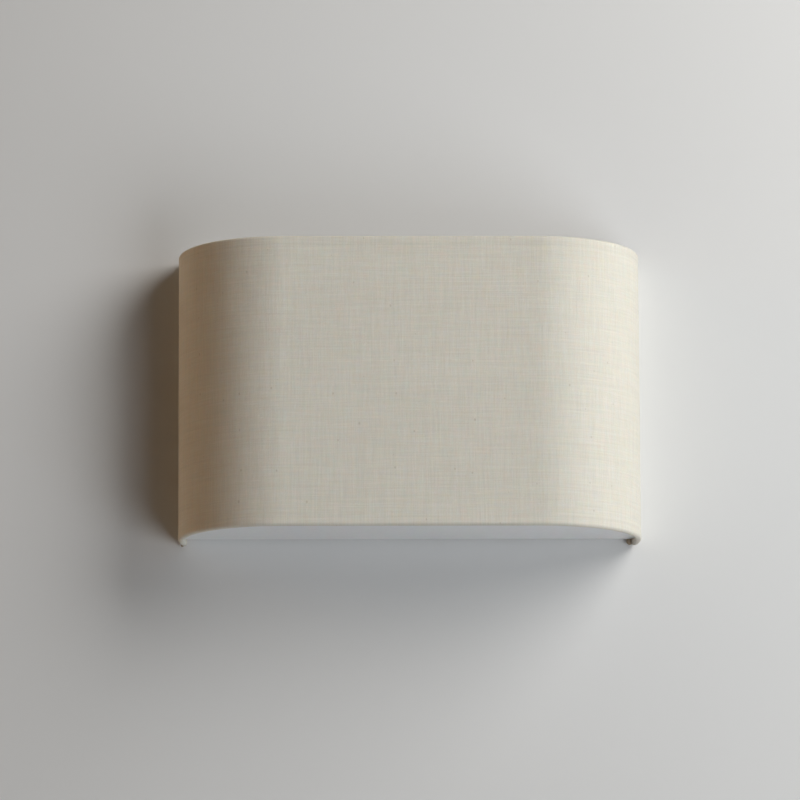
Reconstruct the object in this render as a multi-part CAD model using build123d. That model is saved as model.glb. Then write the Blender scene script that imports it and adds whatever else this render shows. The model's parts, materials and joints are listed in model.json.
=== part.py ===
from build123d import *
import os
from math import asin, cos, degrees, radians, sin, sqrt

os.makedirs("parts", exist_ok=True)

# Wall light with a D-plan fabric shade, in millimetres.
# The wall is the plane y = 0, the front faces -Y and +Z is up. The origin is the middle of the wall
# strap's rear face, at half the shade's height.

# Shade, outside sizes
shade_width = 350.0
shade_height = 220.0
shade_depth = 100.0          # wall to flat front
corner_radius = 80.0         # outer face in plan
wall_gap = 1.0               # wall to the shade's back edges

# Shade, layers and wires
linen = 0.6
glue_line = 0.1              # between linen and lining
lining = 0.5
ring_wire = 3.4              # diameter of the top and bottom rings
strut_wire = 3.0             # diameter of the two back struts
bar_wire = 3.4               # diameter of the two cross bars
wire_fit = 0.1               # gap all round a wire inside its hem
weld_gap = 0.05              # wire end to the wire it is welded to
hem_gap = 0.3                # lining's edges to the hems
bar_drop = 18.0              # shade's top or bottom edge to a cross bar

# Diffuser, a flat sheet that lies on the bottom hem
diffuser_thickness = 3.0
diffuser_edge_gap = 0.4      # to the lining
diffuser_back_gap = 4.0      # to the wall
diffuser_seat_gap = 0.05     # to the hem under it
diffuser_notch_gap = 0.6     # round the strut hems

# Backplate, a pressed tray that is open to the wall
plate_width = 220.0
plate_height = 140.0
plate_depth = 22.0
plate_steel = 1.2
plate_corner = 8.0           # outer radius, seen from the front
plate_edge = 2.5             # outer radius of the front edge

# Wall strap, a channel that lies on the wall inside the tray
strap_length = 170.0
strap_height = 25.0
strap_depth = 6.0
strap_steel = 2.0
slot_spacing = 130.0
slot_width = 5.2
slot_length = 14.0
cable_hole = 18.0

# Studs and cap nuts
stud_pitch = 90.0
stud_diameter = 4.0
stud_head = 6.0
stud_head_height = 1.0
stud_reach = 5.0             # beyond the backplate's front
stud_fit = 0.05
stud_clearance = 0.2         # in the backplate's hole
nut_flats = 7.0
nut_height = 4.2             # of its hexagon
nut_dome = 3.0
nut_dome_inset = 0.3         # hexagon's flats to the dome's foot

# Spring clips on the backplate's top and bottom edges
clip_inset = 25.0            # backplate's sides to the clips' middles
clip_steel = 0.6
clip_width = 12.0
clip_tongue = 6.0            # width of the lower lip, cut and bent out of the riser
clip_kerf = 0.4              # slit at each side of that lip
clip_window = 8.5            # height of the hole it leaves
clip_lip = 6.0               # straight reach of a lip
clip_flare = 2.2
clip_fit = 0.1               # between a clip and its bar
clip_bend = 1.2              # middle radius of its bends
clip_foot = 15.0

# Rivets
rivet_diameter = 3.0
rivet_head = 5.4
rivet_head_height = 1.0
rivet_tail = 4.6
rivet_tail_height = 0.8

# Lampholder brackets
lamp_inset = 35.0            # backplate's sides to the lamps' axes
lamp_axis = 50.0             # wall to lamp axis
shelf_drop = 42.0            # origin down to the shelf's top
bracket_steel = 1.5
bracket_width = 28.0
bracket_upstand = 26.0       # above the shelf's top
bracket_bend = 3.0           # outer radius
bracket_skirt = 4.0          # stiffening flanges under the shelf
bracket_rivet_rise = 16.0    # above the shelf's top
bracket_rivet_spacing = 16.0

# Lampholders
holder_height = 46.0
holder_diameter = 24.6
holder_foot = 19.0
holder_dome = 8.0            # height of the rounded foot
holder_dome_round = 12.8     # radius of its side
holder_rim = 26.4
holder_rim_height = 7.0
holder_mouth = 17.6
holder_mouth_depth = 2.0
holder_floor = 19.0          # height of the floor under the contact
holder_flats = 20.4          # across the two flats for turning it on
flats_rise = 10.0            # flats' lower and upper ends above the shelf
flats_top = 24.0
shell_wall = 0.35
shell_height = 24.0
shell_fit = 0.07             # shell to holder
shell_turn_in = 1.2          # width of the lip at the shell's foot
contact_strip = 0.4
contact_width = 4.0
contact_span = 10.0
contact_rise = 3.2
nipple_diameter = 10.0
nipple_bore = 7.2
nipple_seat = 7.0            # its reach into the holder
nipple_drop = 6.5            # its reach below the shelf
nipple_fit = 0.05
lead_well = 12.0             # height to which the leads reach inside the holder
locknut_flats = 14.0
locknut_height = 3.0
locknut_chamfer = 0.4

# Lamps
globe_diameter = 45.0
dome_wall = 1.0
lamp_length = 78.0
lamp_seat = 22.5             # shelf's top up to the lamp's contact
cap_diameter = 13.8
cap_wall = 0.3
cap_bottom = 4.2             # above the contact
cap_top = 24.0
cap_fit = 0.08               # cap to holder's shell
cap_draw = 1.6               # how far its foot is drawn in
collar_foot = 15.6
collar_height = 18.0
collar_waist = 20.4          # diameter half way up the collar
spigot_height = 12.0
spigot_fit = 0.05
insulator_top = 10.4
tip_diameter = 5.2
tip_height = 1.2
insulator_base = 3.2         # radius of the insulator at the contact

# Leads and grommets
core_diameter = 2.2
core_gap = 0.4               # between the two cores of a lampholder
grommet_drop = 60.0          # origin down to the wire grommets
grommet_hole = 10.0
grommet_flange = 14.0
grommet_bore = 6.0
grommet_lip = 1.4
core_bend_down = 9.0
core_bend_in = 5.5
core_bend_up = 12.0
core_approach = 14.0         # straight run below the block
earth_bend = 4.0
earth_straight = 3.0         # from the block to the first bend

# Terminal block on the tray's inner face
block_rise = 22.0            # origin up to its lower face
block_height = 16.0
block_depth = 14.0
block_pitch = 11.0
block_width = 34.0
block_chamfer = 1.0
block_notch = 3.0            # across the notches between the poles
block_notch_depth = 5.0
insert_width = 6.8           # square brass insert of a pole
insert_bore = 6.0            # square too
insert_fit = 0.05
insert_length = 12.0
entry_depth = 4.0            # how far a core goes into the block
clamp_screw = 3.0
clamp_spread = 8.0
clamp_sink = 1.2             # screw's end below the block's face
block_screw = 2.2
block_screw_head = 3.4
block_screw_head_height = 1.2
block_screw_sink = 1.2       # head below the block's face
block_screw_tip = 1.0        # beyond the backplate's front

# Earth screw and tag above the block
earth_rise = 59.0
earth_screw = 4.0
earth_head = 7.6
earth_head_height = 2.4
earth_tip = 1.5
washer_diameter = 8.0
washer_thickness = 0.6
tag_diameter = 8.4
tag_thickness = 0.8
tag_barrel = 3.6
tag_barrel_length = 7.0
tag_crimp_fit = 0.05
tag_neck_gap = 0.6           # ring's hole to the end of the barrel's neck

# Places that follow from the sizes above
half_front = shade_width / 2 - corner_radius
corner_y = corner_radius - shade_depth
ring_hem = ring_wire / 2 + wire_fit + linen
strut_hem = strut_wire / 2 + wire_fit + linen
ring_z = shade_height / 2 - ring_hem
strut_y = -(wall_gap + strut_hem)
wire_turn = corner_radius - ring_hem
turn_in = degrees(asin((strut_y - corner_y) / wire_turn))
strut_x = half_front + wire_turn * cos(radians(turn_in))
bar_z = shade_height / 2 - bar_drop
clip_spacing = plate_width - 2 * clip_inset
lamp_spacing = plate_width - 2 * lamp_inset
shell_inner = cap_diameter / 2 + cap_fit
shell_outer = shell_inner + shell_wall
shelf_z = -shelf_drop
core_step = (core_diameter + core_gap) / 2
block_y = -(plate_depth - plate_steel - block_depth / 2)
live_y = block_y - core_step
neutral_y = block_y + core_step
block_top = block_rise + block_height
plate_inside = -(plate_depth - plate_steel)
both_sides = (("left", -1), ("right", 1))
both_ends = (("upper", 1), ("lower", -1))


def arc_step(length, radius):
    """Angle in degrees that a length takes up along an arc."""
    return degrees(length / radius)


def turned(*outline):
    """Turns an outline of (radius, height) points about the Z axis."""
    return revolve(make_face(Plane.XZ * Polyline(*outline, close=True)), axis=Axis.Z)


def domed_end(radius, height):
    """A cap of a ball that stands on the plane z = 0, of a given foot radius and height."""
    ball = (radius**2 + height**2) / (2 * height)
    return split(Pos(0, 0, height - ball) * Sphere(ball), bisect_by=Plane.XY, keep=Keep.TOP)


def rod(diameter, start, end):
    """A straight round rod between two points."""
    line = Line(start, end)
    return sweep(Plane(origin=line @ 0, z_dir=line % 0) * Circle(diameter / 2), path=line)


def bent_rod(diameter, points, radii):
    """A round rod along straight runs joined by tangent arcs."""
    route = FilletPolyline(*points, radius=radii)
    return sweep(Plane(origin=route @ 0, z_dir=route % 0) * Circle(diameter / 2), path=route)


def across(diameter, x, z, front, back):
    """A rod along Y at (x, z), from its front to its back."""
    return rod(diameter, (x, front, z), (x, back, z))


def around_shade(section, turn):
    """Carries a section across the flat front and round both corners.

    The section is drawn as (y, z) at the front's right end; turn is the angle past the widest point."""
    end = Plane(origin=(half_front, 0, 0), x_dir=(0, 1, 0), z_dir=(1, 0, 0)) * section
    front = extrude(end, amount=2 * half_front, dir=(-1, 0, 0))
    corner = revolve(end, axis=Axis((half_front, corner_y, 0), (0, 0, 1)), revolution_arc=90 + turn)
    return front + corner + mirror(corner, about=Plane.YZ)


def ring_section(z, diameter):
    """The round section of a ring, or of the bore or hem round it."""
    return Pos(-shade_depth + ring_hem, z) * Circle(diameter / 2)


def plan_inside(inset, back):
    """The shade's plan, inset from its outer face and cut off in front of the wall."""
    radius = corner_radius - inset
    corners = Pos(-half_front, corner_y) * Circle(radius) + Pos(half_front, corner_y) * Circle(radius)
    middle = Pos(0, corner_y) * Rectangle(2 * half_front, 2 * radius)
    behind = Pos(0, -back) * Rectangle(2 * shade_width, 4 * radius, align=(Align.CENTER, Align.MIN))
    return corners + middle - behind


# Shade

def hemmed_section():
    """Section of the linen: a skin whose ends are folded round the top and bottom rings."""
    outer = -shade_depth
    inner = outer + linen
    hem_y = outer + ring_hem
    fold_z = ring_z - sqrt(ring_hem**2 - (ring_hem - linen) ** 2)
    section = make_face(
        [
            Line((outer, -ring_z), (outer, ring_z)),
            ThreePointArc((outer, ring_z), (hem_y + ring_hem, ring_z), (inner, fold_z)),
            Line((inner, fold_z), (inner, -fold_z)),
            ThreePointArc((inner, -fold_z), (hem_y + ring_hem, -ring_z), (outer, -ring_z)),
        ]
    )
    bore = ring_wire + 2 * wire_fit
    return section - ring_section(ring_z, bore) - ring_section(-ring_z, bore)


def shade_linen():
    """Linen skin, folded round the rings and struts, with a way in for each wire that meets a strut."""
    shell = around_shade(hemmed_section(), turn_in)
    strut_bore = strut_wire / 2 + wire_fit
    ring_way = ring_wire + 2 * wire_fit + wire_fit
    turn = radians(turn_in)
    step = strut_hem + wire_fit
    for _, side in both_sides:
        place = Pos(side * strut_x, strut_y, 0)
        shell += place * Cylinder(strut_hem, shade_height)
        shell -= place * Cylinder(strut_bore, shade_height - 2 * linen)
        for _, end in both_ends:
            corner = Vector(side * strut_x, strut_y, end * ring_z)
            shell -= rod(ring_way, corner, corner + Vector(side * sin(turn), -cos(turn), 0) * step)
            bar_end = Vector(side * strut_x, strut_y, end * bar_z)
            shell -= rod(bar_wire + 2 * wire_fit, bar_end - Vector(side * 2 * strut_hem, 0, 0), bar_end)
    return shell


def shade_lining():
    """White lining sheet behind the linen, between the hems."""
    height = shade_height - 4 * ring_hem - 2 * hem_gap
    inset = linen + glue_line + lining / 2
    sheet = Pos(-shade_depth + inset, 0) * Rectangle(lining, height)
    return around_shade(sheet, turn_in - arc_step(strut_hem + hem_gap, wire_turn))


def shade_ring(end):
    """One bent wire ring, open at the wall and welded to the struts."""
    turn = turn_in - arc_step(strut_wire / 2 + weld_gap, wire_turn)
    return around_shade(ring_section(end * ring_z, ring_wire), turn)


def shade_strut(side):
    """An upright wire at the back edge, cut square."""
    reach = ring_z + strut_wire / 2
    return rod(strut_wire, (side * strut_x, strut_y, -reach), (side * strut_x, strut_y, reach))


def cross_bar(end):
    """A straight wire from strut to strut, which the clips hold."""
    reach = strut_x - strut_wire / 2 - weld_gap
    return rod(bar_wire, (-reach, strut_y, end * bar_z), (reach, strut_y, end * bar_z))


def diffuser():
    """D-shaped opal sheet, notched at its back corners round the strut hems."""
    inset = linen + glue_line + lining + diffuser_edge_gap
    outline = plan_inside(inset, diffuser_back_gap)
    for _, side in both_sides:
        outline -= Pos(side * strut_x, strut_y) * Circle(strut_hem + diffuser_notch_gap)
    lift = 2 * ring_hem + diffuser_seat_gap - shade_height / 2
    return Pos(0, 0, lift) * extrude(outline, amount=diffuser_thickness)


# Wall strap, backplate and their fastenings

def wall_strap():
    """Channel strap with two fixing slots, a cable hole and countersunk seats for the studs."""
    outline = Pos(0, -strap_depth / 2) * Rectangle(strap_length, strap_depth)
    channel = extrude(outline, amount=strap_height / 2, both=True)
    long_edges = channel.edges().filter_by(Axis.X).group_by(Axis.Y)[-1]
    channel = fillet(long_edges, strap_steel)
    inner = strap_height - 2 * strap_steel
    trough = Box(strap_length, strap_depth, inner, align=(Align.CENTER, Align.MAX, Align.CENTER))
    channel -= Pos(0, -strap_steel, 0) * trough
    for _, side in both_sides:
        slot = extrude(SlotOverall(slot_length, slot_width), amount=strap_depth, both=True)
        channel -= Pos(side * slot_spacing / 2, 0, 0) * Rot(90, 0, 0) * slot
        x = side * stud_pitch / 2
        channel -= across(stud_diameter + 2 * stud_fit, x, 0, -strap_depth, 0)
        channel -= across(stud_head + 2 * stud_fit, x, 0, -stud_head_height, 0)
    return channel - across(cable_hole, 0, 0, -strap_depth, 0)


def strap_studs():
    """Two studs pressed into the strap from behind."""
    studs = []
    for _, side in both_sides:
        x = side * stud_pitch / 2
        shank = across(stud_diameter, x, 0, -(plate_depth + stud_reach), 0)
        studs.append(shank + across(stud_head, x, 0, -stud_head_height, 0))
    return studs


def cap_nut(side):
    """Hexagonal cap nut with a domed end and a blind bore, which holds the backplate to a stud."""
    hexagon = extrude(RegularPolygon(nut_flats / 2, 6, major_radius=False), amount=nut_height)
    dome = Pos(0, 0, nut_height) * domed_end(nut_flats / 2 - nut_dome_inset, nut_dome)
    bore_depth = stud_reach + stud_clearance
    bore = Pos(0, 0, bore_depth / 2) * Cylinder(stud_diameter / 2 + stud_fit, bore_depth)
    return Pos(side * stud_pitch / 2, -plate_depth, 0) * Rot(90, 0, 0) * (hexagon + dome - bore)


def tray_block(width, height, depth, corner, edge):
    """A block behind the front face, with rounded corners and a rounded front edge."""
    block = extrude(Plane.XZ * RectangleRounded(width, height, corner), amount=depth)
    return fillet(block.faces().sort_by(Axis.Y)[0].edges(), edge)


def backplate():
    """Pressed tray with holes for the studs, rivets, grommets, block screws and earth screw."""
    inner_width = plate_width - 2 * plate_steel
    inner_height = plate_height - 2 * plate_steel
    inner_corner = plate_corner - plate_steel
    inner_edge = plate_edge - plate_steel
    tray = tray_block(plate_width, plate_height, plate_depth, plate_corner, plate_edge)
    tray -= tray_block(inner_width, inner_height, -plate_inside, inner_corner, inner_edge)
    front = -plate_depth
    for _, side in both_sides:
        lamp_x = side * lamp_spacing / 2
        stud_hole = stud_diameter + 2 * stud_clearance
        tray -= across(stud_hole, side * stud_pitch / 2, 0, front, plate_inside)
        tray -= across(grommet_hole, lamp_x, -grommet_drop, front, plate_inside)
        for x in rivet_columns(lamp_x):
            tray -= across(rivet_diameter, x, shelf_z + bracket_rivet_rise, front, plate_inside)
        tray -= across(block_screw, side * block_pitch / 2, block_middle(), front, plate_inside)
        for _, end in both_ends:
            edge = end * plate_height / 2
            inside = end * (plate_height / 2 - plate_steel)
            x = side * clip_spacing / 2
            tray -= rod(rivet_diameter, (x, clip_rivet_y(), inside), (x, clip_rivet_y(), edge))
    return tray - across(earth_screw, 0, earth_rise, front, plate_inside)


def rivet_columns(lamp_x):
    """The two places across a bracket where it is riveted."""
    return (lamp_x - bracket_rivet_spacing / 2, lamp_x + bracket_rivet_spacing / 2)


def block_middle():
    """Height of the terminal block's middle."""
    return block_rise + block_height / 2


def clip_rivet_y():
    """Distance of the clip rivets from the wall, at half the flat part of the clip's foot."""
    return clip_back() - clip_foot / 2


def clip_back():
    """Rear face of a clip's riser, just behind its bar."""
    return strut_y + bar_wire / 2 + clip_fit + clip_steel


def spring_clip(side, end):
    """Strip clip: a riveted foot, a riser and two flared lips, the lower one bent out of the riser.

    It is drawn round its bar as (y, z), with the bar at z = 0."""
    middle = clip_steel / 2
    riser_y = clip_back() - middle
    lip_z = bar_wire / 2 + clip_fit + middle
    foot_z = plate_height / 2 + middle - bar_z
    lip_end = riser_y - clip_lip
    strip = FilletPolyline(
        (riser_y - clip_foot, foot_z),
        (riser_y, foot_z),
        (riser_y, lip_z),
        (lip_end, lip_z),
        (lip_end - clip_flare, lip_z + clip_flare / 2),
        radius=clip_bend,
    )
    tongue = FilletPolyline(
        (riser_y, 0),
        (riser_y, -lip_z),
        (lip_end, -lip_z),
        (lip_end - clip_flare, -lip_z - clip_flare / 2),
        radius=clip_bend,
    )
    body = extrude(Plane.YZ * trace(strip, clip_steel), amount=clip_width / 2, both=True)
    hole_width = clip_tongue + 2 * clip_kerf
    window = Box(hole_width, 2 * clip_steel, clip_window, align=(Align.CENTER, Align.CENTER, Align.MAX))
    body -= Pos(0, riser_y, clip_bend - lip_z) * window
    body += extrude(Plane.YZ * trace(tongue, clip_steel), amount=clip_tongue / 2, both=True)
    rivet_y = clip_rivet_y()
    body -= rod(rivet_diameter, (0, rivet_y, foot_z - middle), (0, rivet_y, foot_z + middle))
    clip = Pos(side * clip_spacing / 2, 0, bar_z) * body
    return clip if end > 0 else mirror(clip, about=Plane.XY)


def rivet(grip):
    """Rivet along Z: its domed head lies at z = 0 and its upset tail grips a stack below."""
    tail = rivet_tail / 2
    shank = rivet_diameter / 2
    tail_end = -grip - rivet_tail_height
    shaft = turned((0, 0), (shank, 0), (shank, -grip), (tail, -grip), (tail, tail_end), (0, tail_end))
    return shaft + domed_end(rivet_head / 2, rivet_head_height)


def clip_rivets():
    """Four rivets through the clips' feet and the backplate's edges."""
    rivets = []
    for _, side in both_sides:
        place = Pos(side * clip_spacing / 2, clip_rivet_y(), plate_height / 2 + clip_steel)
        upper = place * rivet(clip_steel + plate_steel)
        rivets += [upper, mirror(upper, about=Plane.XY)]
    return rivets


def bracket_rivets():
    """Four rivets through the lampholder brackets and the backplate."""
    rivets = []
    for _, side in both_sides:
        for x in rivet_columns(side * lamp_spacing / 2):
            place = Pos(x, -plate_depth - bracket_steel, shelf_z + bracket_rivet_rise) * Rot(90, 0, 0)
            rivets.append(place * rivet(bracket_steel + plate_steel))
    return rivets


# Lampholders

def lampholder_bracket(side):
    """Bent steel bracket: an upstand on the backplate and a round-ended shelf with side skirts."""
    reach = lamp_axis - plate_depth
    half = bracket_steel / 2
    fold = FilletPolyline(
        (-plate_depth - half, bracket_upstand),
        (-plate_depth - half, -half),
        (-lamp_axis, -half),
        radius=bracket_bend - half,
    )
    bracket = extrude(Plane.YZ * trace(fold, bracket_steel), amount=bracket_width / 2, both=True)
    nose = Pos(0, -lamp_axis, -half) * Cylinder(bracket_width / 2, bracket_steel)
    bracket += nose
    skirt = Rectangle(reach - bracket_bend, bracket_skirt + half, align=(Align.MAX, Align.MAX))
    skirt = fillet(skirt.vertices().sort_by(Axis.X)[0:1], bracket_skirt / 2)
    for edge in (-1, 1):
        web = extrude(Plane.YZ * skirt, amount=bracket_steel / 2, both=True)
        place = Pos(edge * (bracket_width - bracket_steel) / 2, -plate_depth - bracket_bend, -half)
        bracket += place * web
    top_corners = bracket.edges().filter_by(Axis.Y).group_by(Axis.Z)[-1]
    bracket = fillet(top_corners, bracket_bend)
    bracket -= Pos(0, -lamp_axis, 0) * Cylinder(nipple_diameter / 2 + nipple_fit, 4 * bracket_steel)
    for x in rivet_columns(0):
        bracket -= across(rivet_diameter, x, bracket_rivet_rise, -plate_depth - bracket_steel, -plate_depth)
    return Pos(side * lamp_spacing / 2, 0, shelf_z) * bracket


def at_lamp(side, height):
    """The place on a lamp's axis at a height above the shelf."""
    return Pos(side * lamp_spacing / 2, -lamp_axis, shelf_z + height)


def lampholder_body(side):
    """Moulded holder with a rounded foot, two flats to turn it by, a rim and a stepped bore."""
    foot = holder_foot / 2
    waist = holder_diameter / 2
    rim = holder_rim / 2
    rim_bottom = holder_height - holder_rim_height
    outline = [
        Line((0, 0), (foot, 0)),
        RadiusArc((foot, 0), (waist, holder_dome), -holder_dome_round),
        Line((waist, holder_dome), (waist, rim_bottom - (rim - waist))),
        Line((waist, rim_bottom - (rim - waist)), (rim, rim_bottom)),
        Line((rim, rim_bottom), (rim, holder_height)),
        Line((rim, holder_height), (0, holder_height)),
        Line((0, holder_height), (0, 0)),
    ]
    body = revolve(Plane.XZ * make_face(outline), axis=Axis.Z)
    bores = (
        (nipple_diameter / 2 + nipple_fit, 0, nipple_seat),
        (nipple_bore / 2, 0, lead_well),
        (shell_outer + shell_fit, holder_floor, holder_height),
        (holder_mouth / 2, holder_height - holder_mouth_depth, holder_height),
    )
    for radius, low, high in bores:
        body -= Pos(0, 0, (low + high) / 2) * Cylinder(radius, high - low)
    flat_place = (Align.MIN, Align.CENTER, Align.MIN)
    flat = Box(holder_diameter, holder_diameter, flats_top - flats_rise, align=flat_place)
    for turn in (0, 180):
        body -= Rot(0, 0, turn) * Pos(holder_flats / 2, 0, flats_rise) * flat
    return at_lamp(side, 0) * body


def lampholder_shell(side):
    """Thin metal shell that takes the lamp's cap, turned in at its foot."""
    inner = shell_inner - shell_turn_in
    shell = turned(
        (inner, 0),
        (shell_outer, 0),
        (shell_outer, shell_height),
        (shell_inner, shell_height),
        (shell_inner, shell_wall),
        (inner, shell_wall),
    )
    return at_lamp(side, holder_floor) * shell


def lampholder_contact(side):
    """Bowed contact strip on the holder's floor, under the lamp's contact."""
    half = contact_span / 2
    bow = ThreePointArc((-half, 0), (0, contact_rise - contact_strip), (half, 0))
    strip = extrude(Plane.XZ * trace(bow, contact_strip), amount=contact_width / 2, both=True)
    foot = Box(contact_span, contact_width, contact_strip)
    return at_lamp(side, holder_floor + contact_strip / 2) * (strip + foot)


def nipple(side):
    """Hollow threaded tube that joins the holder to its shelf."""
    length = nipple_seat + bracket_steel + nipple_drop
    tube = Cylinder(nipple_diameter / 2, length) - Cylinder(nipple_bore / 2, length)
    return at_lamp(side, nipple_seat - length / 2) * tube


def nipple_locknuts():
    """Two hexagon nuts under the shelves."""
    nuts = []
    for _, side in both_sides:
        hexagon = RegularPolygon(locknut_flats / 2, 6, major_radius=False)
        nut = extrude(hexagon - Circle(nipple_diameter / 2 + nipple_fit), amount=-locknut_height)
        nut = chamfer(nut.edges().filter_by(Axis.Z), locknut_chamfer)
        nuts.append(at_lamp(side, -bracket_steel) * nut)
    return nuts


# Lamps, drawn up from the tip of the contact

def at_tip(side, height):
    """The place on a lamp's axis at a height above the lamp's contact."""
    return at_lamp(side, lamp_seat + height)


def lamp_dome(side):
    """Hollow ball, open below, whose edge stands on the collar."""
    radius = globe_diameter / 2
    ball = Sphere(radius) - Sphere(radius - dome_wall)
    collar_top = cap_top + collar_height
    cut = Plane.XY.offset(collar_top - (lamp_length - radius))
    return at_tip(side, lamp_length - radius) * split(ball, bisect_by=cut, keep=Keep.TOP)


def collar_radius():
    """Radius of the collar's top, which meets the dome."""
    radius = globe_diameter / 2
    below = lamp_length - radius - cap_top - collar_height
    return sqrt(radius**2 - below**2)


def lamp_collar(side):
    """Flared collar with a spigot that fills the cap."""
    top = cap_top + collar_height
    foot = collar_foot / 2
    waist = collar_waist / 2
    spigot = cap_diameter / 2 - cap_wall - spigot_fit
    flare = [
        Line((0, cap_top), (foot, cap_top)),
        ThreePointArc((foot, cap_top), (waist, cap_top + collar_height / 2), (collar_radius(), top)),
        Line((collar_radius(), top), (0, top)),
        Line((0, top), (0, cap_top)),
    ]
    collar = revolve(Plane.XZ * make_face(flare), axis=Axis.Z)
    collar += Pos(0, 0, cap_top - spigot_height / 2) * Cylinder(spigot, spigot_height)
    return at_tip(side, 0) * collar


def lamp_cap(side):
    """Thin metal screw cap, drawn in at its foot round the insulator."""
    outer = cap_diameter / 2
    throat = outer - cap_draw
    neck = cap_bottom + cap_draw
    cap = turned(
        (throat, cap_bottom),
        (outer, neck),
        (outer, cap_top),
        (outer - cap_wall, cap_top),
        (outer - cap_wall, neck + cap_wall),
        (throat - cap_wall, cap_bottom + cap_wall),
        (throat - cap_wall, cap_bottom),
    )
    return at_tip(side, 0) * cap


def lamp_insulator(side):
    """Cone that closes the cap's foot and carries the contact."""
    throat = cap_diameter / 2 - cap_draw - cap_wall
    cone = turned(
        (0, tip_height),
        (insulator_base, tip_height),
        (throat, cap_bottom),
        (throat, insulator_top),
        (0, insulator_top),
    )
    return at_tip(side, 0) * cone


def lamp_contact(side):
    """Domed contact under the insulator."""
    radius = tip_diameter / 2
    ball = (radius**2 + tip_height**2) / (2 * tip_height)
    button = Pos(0, 0, ball) * Sphere(ball)
    return at_tip(side, 0) * split(button, bisect_by=Plane.XY.offset(tip_height), keep=Keep.BOTTOM)


# Terminal block, leads and earth

def pole_x(pole):
    """Place of a pole across the block; live is +1, earth 0 and neutral -1."""
    return pole * block_pitch


def terminal_block():
    """Moulded three-pole block, notched between its poles and bored for inserts and screws."""
    block = Box(block_width, block_depth, block_height)
    block = chamfer(block.edges().filter_by(Axis.X), block_chamfer)
    for gap in (-1, 1):
        x = gap * block_pitch / 2
        for end in (-1, 1):
            notch = Box(block_notch, block_depth, block_notch)
            block -= Pos(x, block_notch_depth, end * block_height / 2) * notch
        block -= across(block_screw, x, 0, -block_depth / 2, block_depth / 2)
        sink = block_depth / 2 - block_screw_sink - block_screw_head_height
        block -= across(block_screw_head, x, 0, sink, block_depth / 2)
    for pole in (-1, 0, 1):
        seat = insert_width + 2 * insert_fit
        block -= Pos(pole_x(pole), 0, 0) * Box(seat, seat, block_height)
        for end in (-1, 1):
            z = end * clamp_spread / 2
            block -= across(clamp_screw + 2 * insert_fit, pole_x(pole), z, 0, block_depth / 2)
    return Pos(0, block_y, block_middle()) * block


def terminal_inserts():
    """Three square brass tubes, tapped from the wall side for their clamping screws."""
    inserts = []
    for pole in (-1, 0, 1):
        tube = Box(insert_width, insert_width, insert_length) - Box(insert_bore, insert_bore, insert_length)
        for end in (-1, 1):
            z = end * clamp_spread / 2
            tube -= across(clamp_screw, 0, z, 0, insert_width)
        inserts.append(Pos(pole_x(pole), block_y, block_middle()) * tube)
    return inserts


def clamp_screws():
    """Six clamping screws, two to a pole, whose tips stop at the cores."""
    tips = {-1: neutral_y, 0: block_y, 1: live_y}
    screws = []
    for pole, core_y in tips.items():
        for end in (-1, 1):
            z = block_middle() + end * clamp_spread / 2
            tip = core_y + core_diameter / 2 + insert_fit
            top = block_y + block_depth / 2 - clamp_sink
            screws.append(across(clamp_screw, pole_x(pole), z, tip, top))
    return screws


def block_screws():
    """Two screws that hold the block to the backplate."""
    screws = []
    for gap in (-1, 1):
        x = gap * block_pitch / 2
        top = block_y + block_depth / 2 - block_screw_sink
        shank = across(block_screw, x, block_middle(), -plate_depth - block_screw_tip, top)
        head = across(block_screw_head, x, block_middle(), top - block_screw_head_height, top)
        screws.append(shank + head)
    return screws


def wire_grommet(side):
    """Rubber ring in the backplate's hole, with a lip on each face."""
    bore = grommet_bore / 2
    flange = grommet_flange / 2
    groove = grommet_hole / 2
    ring = turned(
        (bore, -grommet_lip),
        (flange, -grommet_lip),
        (flange, 0),
        (groove, 0),
        (groove, plate_steel),
        (flange, plate_steel),
        (flange, plate_steel + grommet_lip),
        (bore, plate_steel + grommet_lip),
    )
    place = Pos(side * lamp_spacing / 2, plate_inside, -grommet_drop)
    return place * Rot(90, 0, 0) * ring


def lamp_core(side, pole, level):
    """One core from a lampholder through its nipple and grommet to a pole of the block."""
    start_x = side * lamp_spacing / 2 + pole * core_step
    end_x = pole_x(pole) + side * core_step
    route = (
        (start_x, -lamp_axis, shelf_z + lead_well),
        (start_x, -lamp_axis, -grommet_drop),
        (start_x, level, -grommet_drop),
        (end_x, level, block_rise - core_approach),
        (end_x, level, block_rise + entry_depth),
    )
    return bent_rod(core_diameter, route, (core_bend_down, core_bend_in, core_bend_up))


def barrel_y():
    """Distance of the earth tag's barrel from the wall."""
    return plate_inside + washer_thickness + tag_barrel / 2


def earth_core():
    """The earth core from the block's middle pole up to the tag's barrel."""
    entry = block_top - entry_depth
    route = (
        (0, block_y, entry),
        (0, block_y, block_top + earth_straight),
        (0, barrel_y(), block_top + 2 * earth_straight),
        (0, barrel_y(), earth_rise - tag_diameter / 2),
    )
    return bent_rod(core_diameter, route, (earth_bend, earth_bend))


def earth_tag():
    """Ring tag under the earth screw, with its barrel pointing down to the block."""
    ring_front = plate_inside + washer_thickness
    ring = across(tag_diameter, 0, earth_rise, ring_front, ring_front + tag_thickness)
    low = earth_rise - tag_diameter / 2 - tag_barrel_length
    high = earth_rise - earth_screw / 2 - tag_neck_gap
    y = barrel_y()
    barrel = rod(tag_barrel, (0, y, low), (0, y, low + tag_barrel_length))
    neck = Box(tag_barrel, tag_thickness, high - low - tag_barrel_length / 2)
    place = Pos(0, ring_front + tag_thickness / 2, (high + low + tag_barrel_length / 2) / 2)
    bore = rod(core_diameter + 2 * tag_crimp_fit, (0, y, low), (0, y, low + tag_barrel_length))
    tag = ring + barrel + place * neck - bore
    return tag - across(earth_screw + 2 * stud_fit, 0, earth_rise, ring_front, 0)


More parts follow.
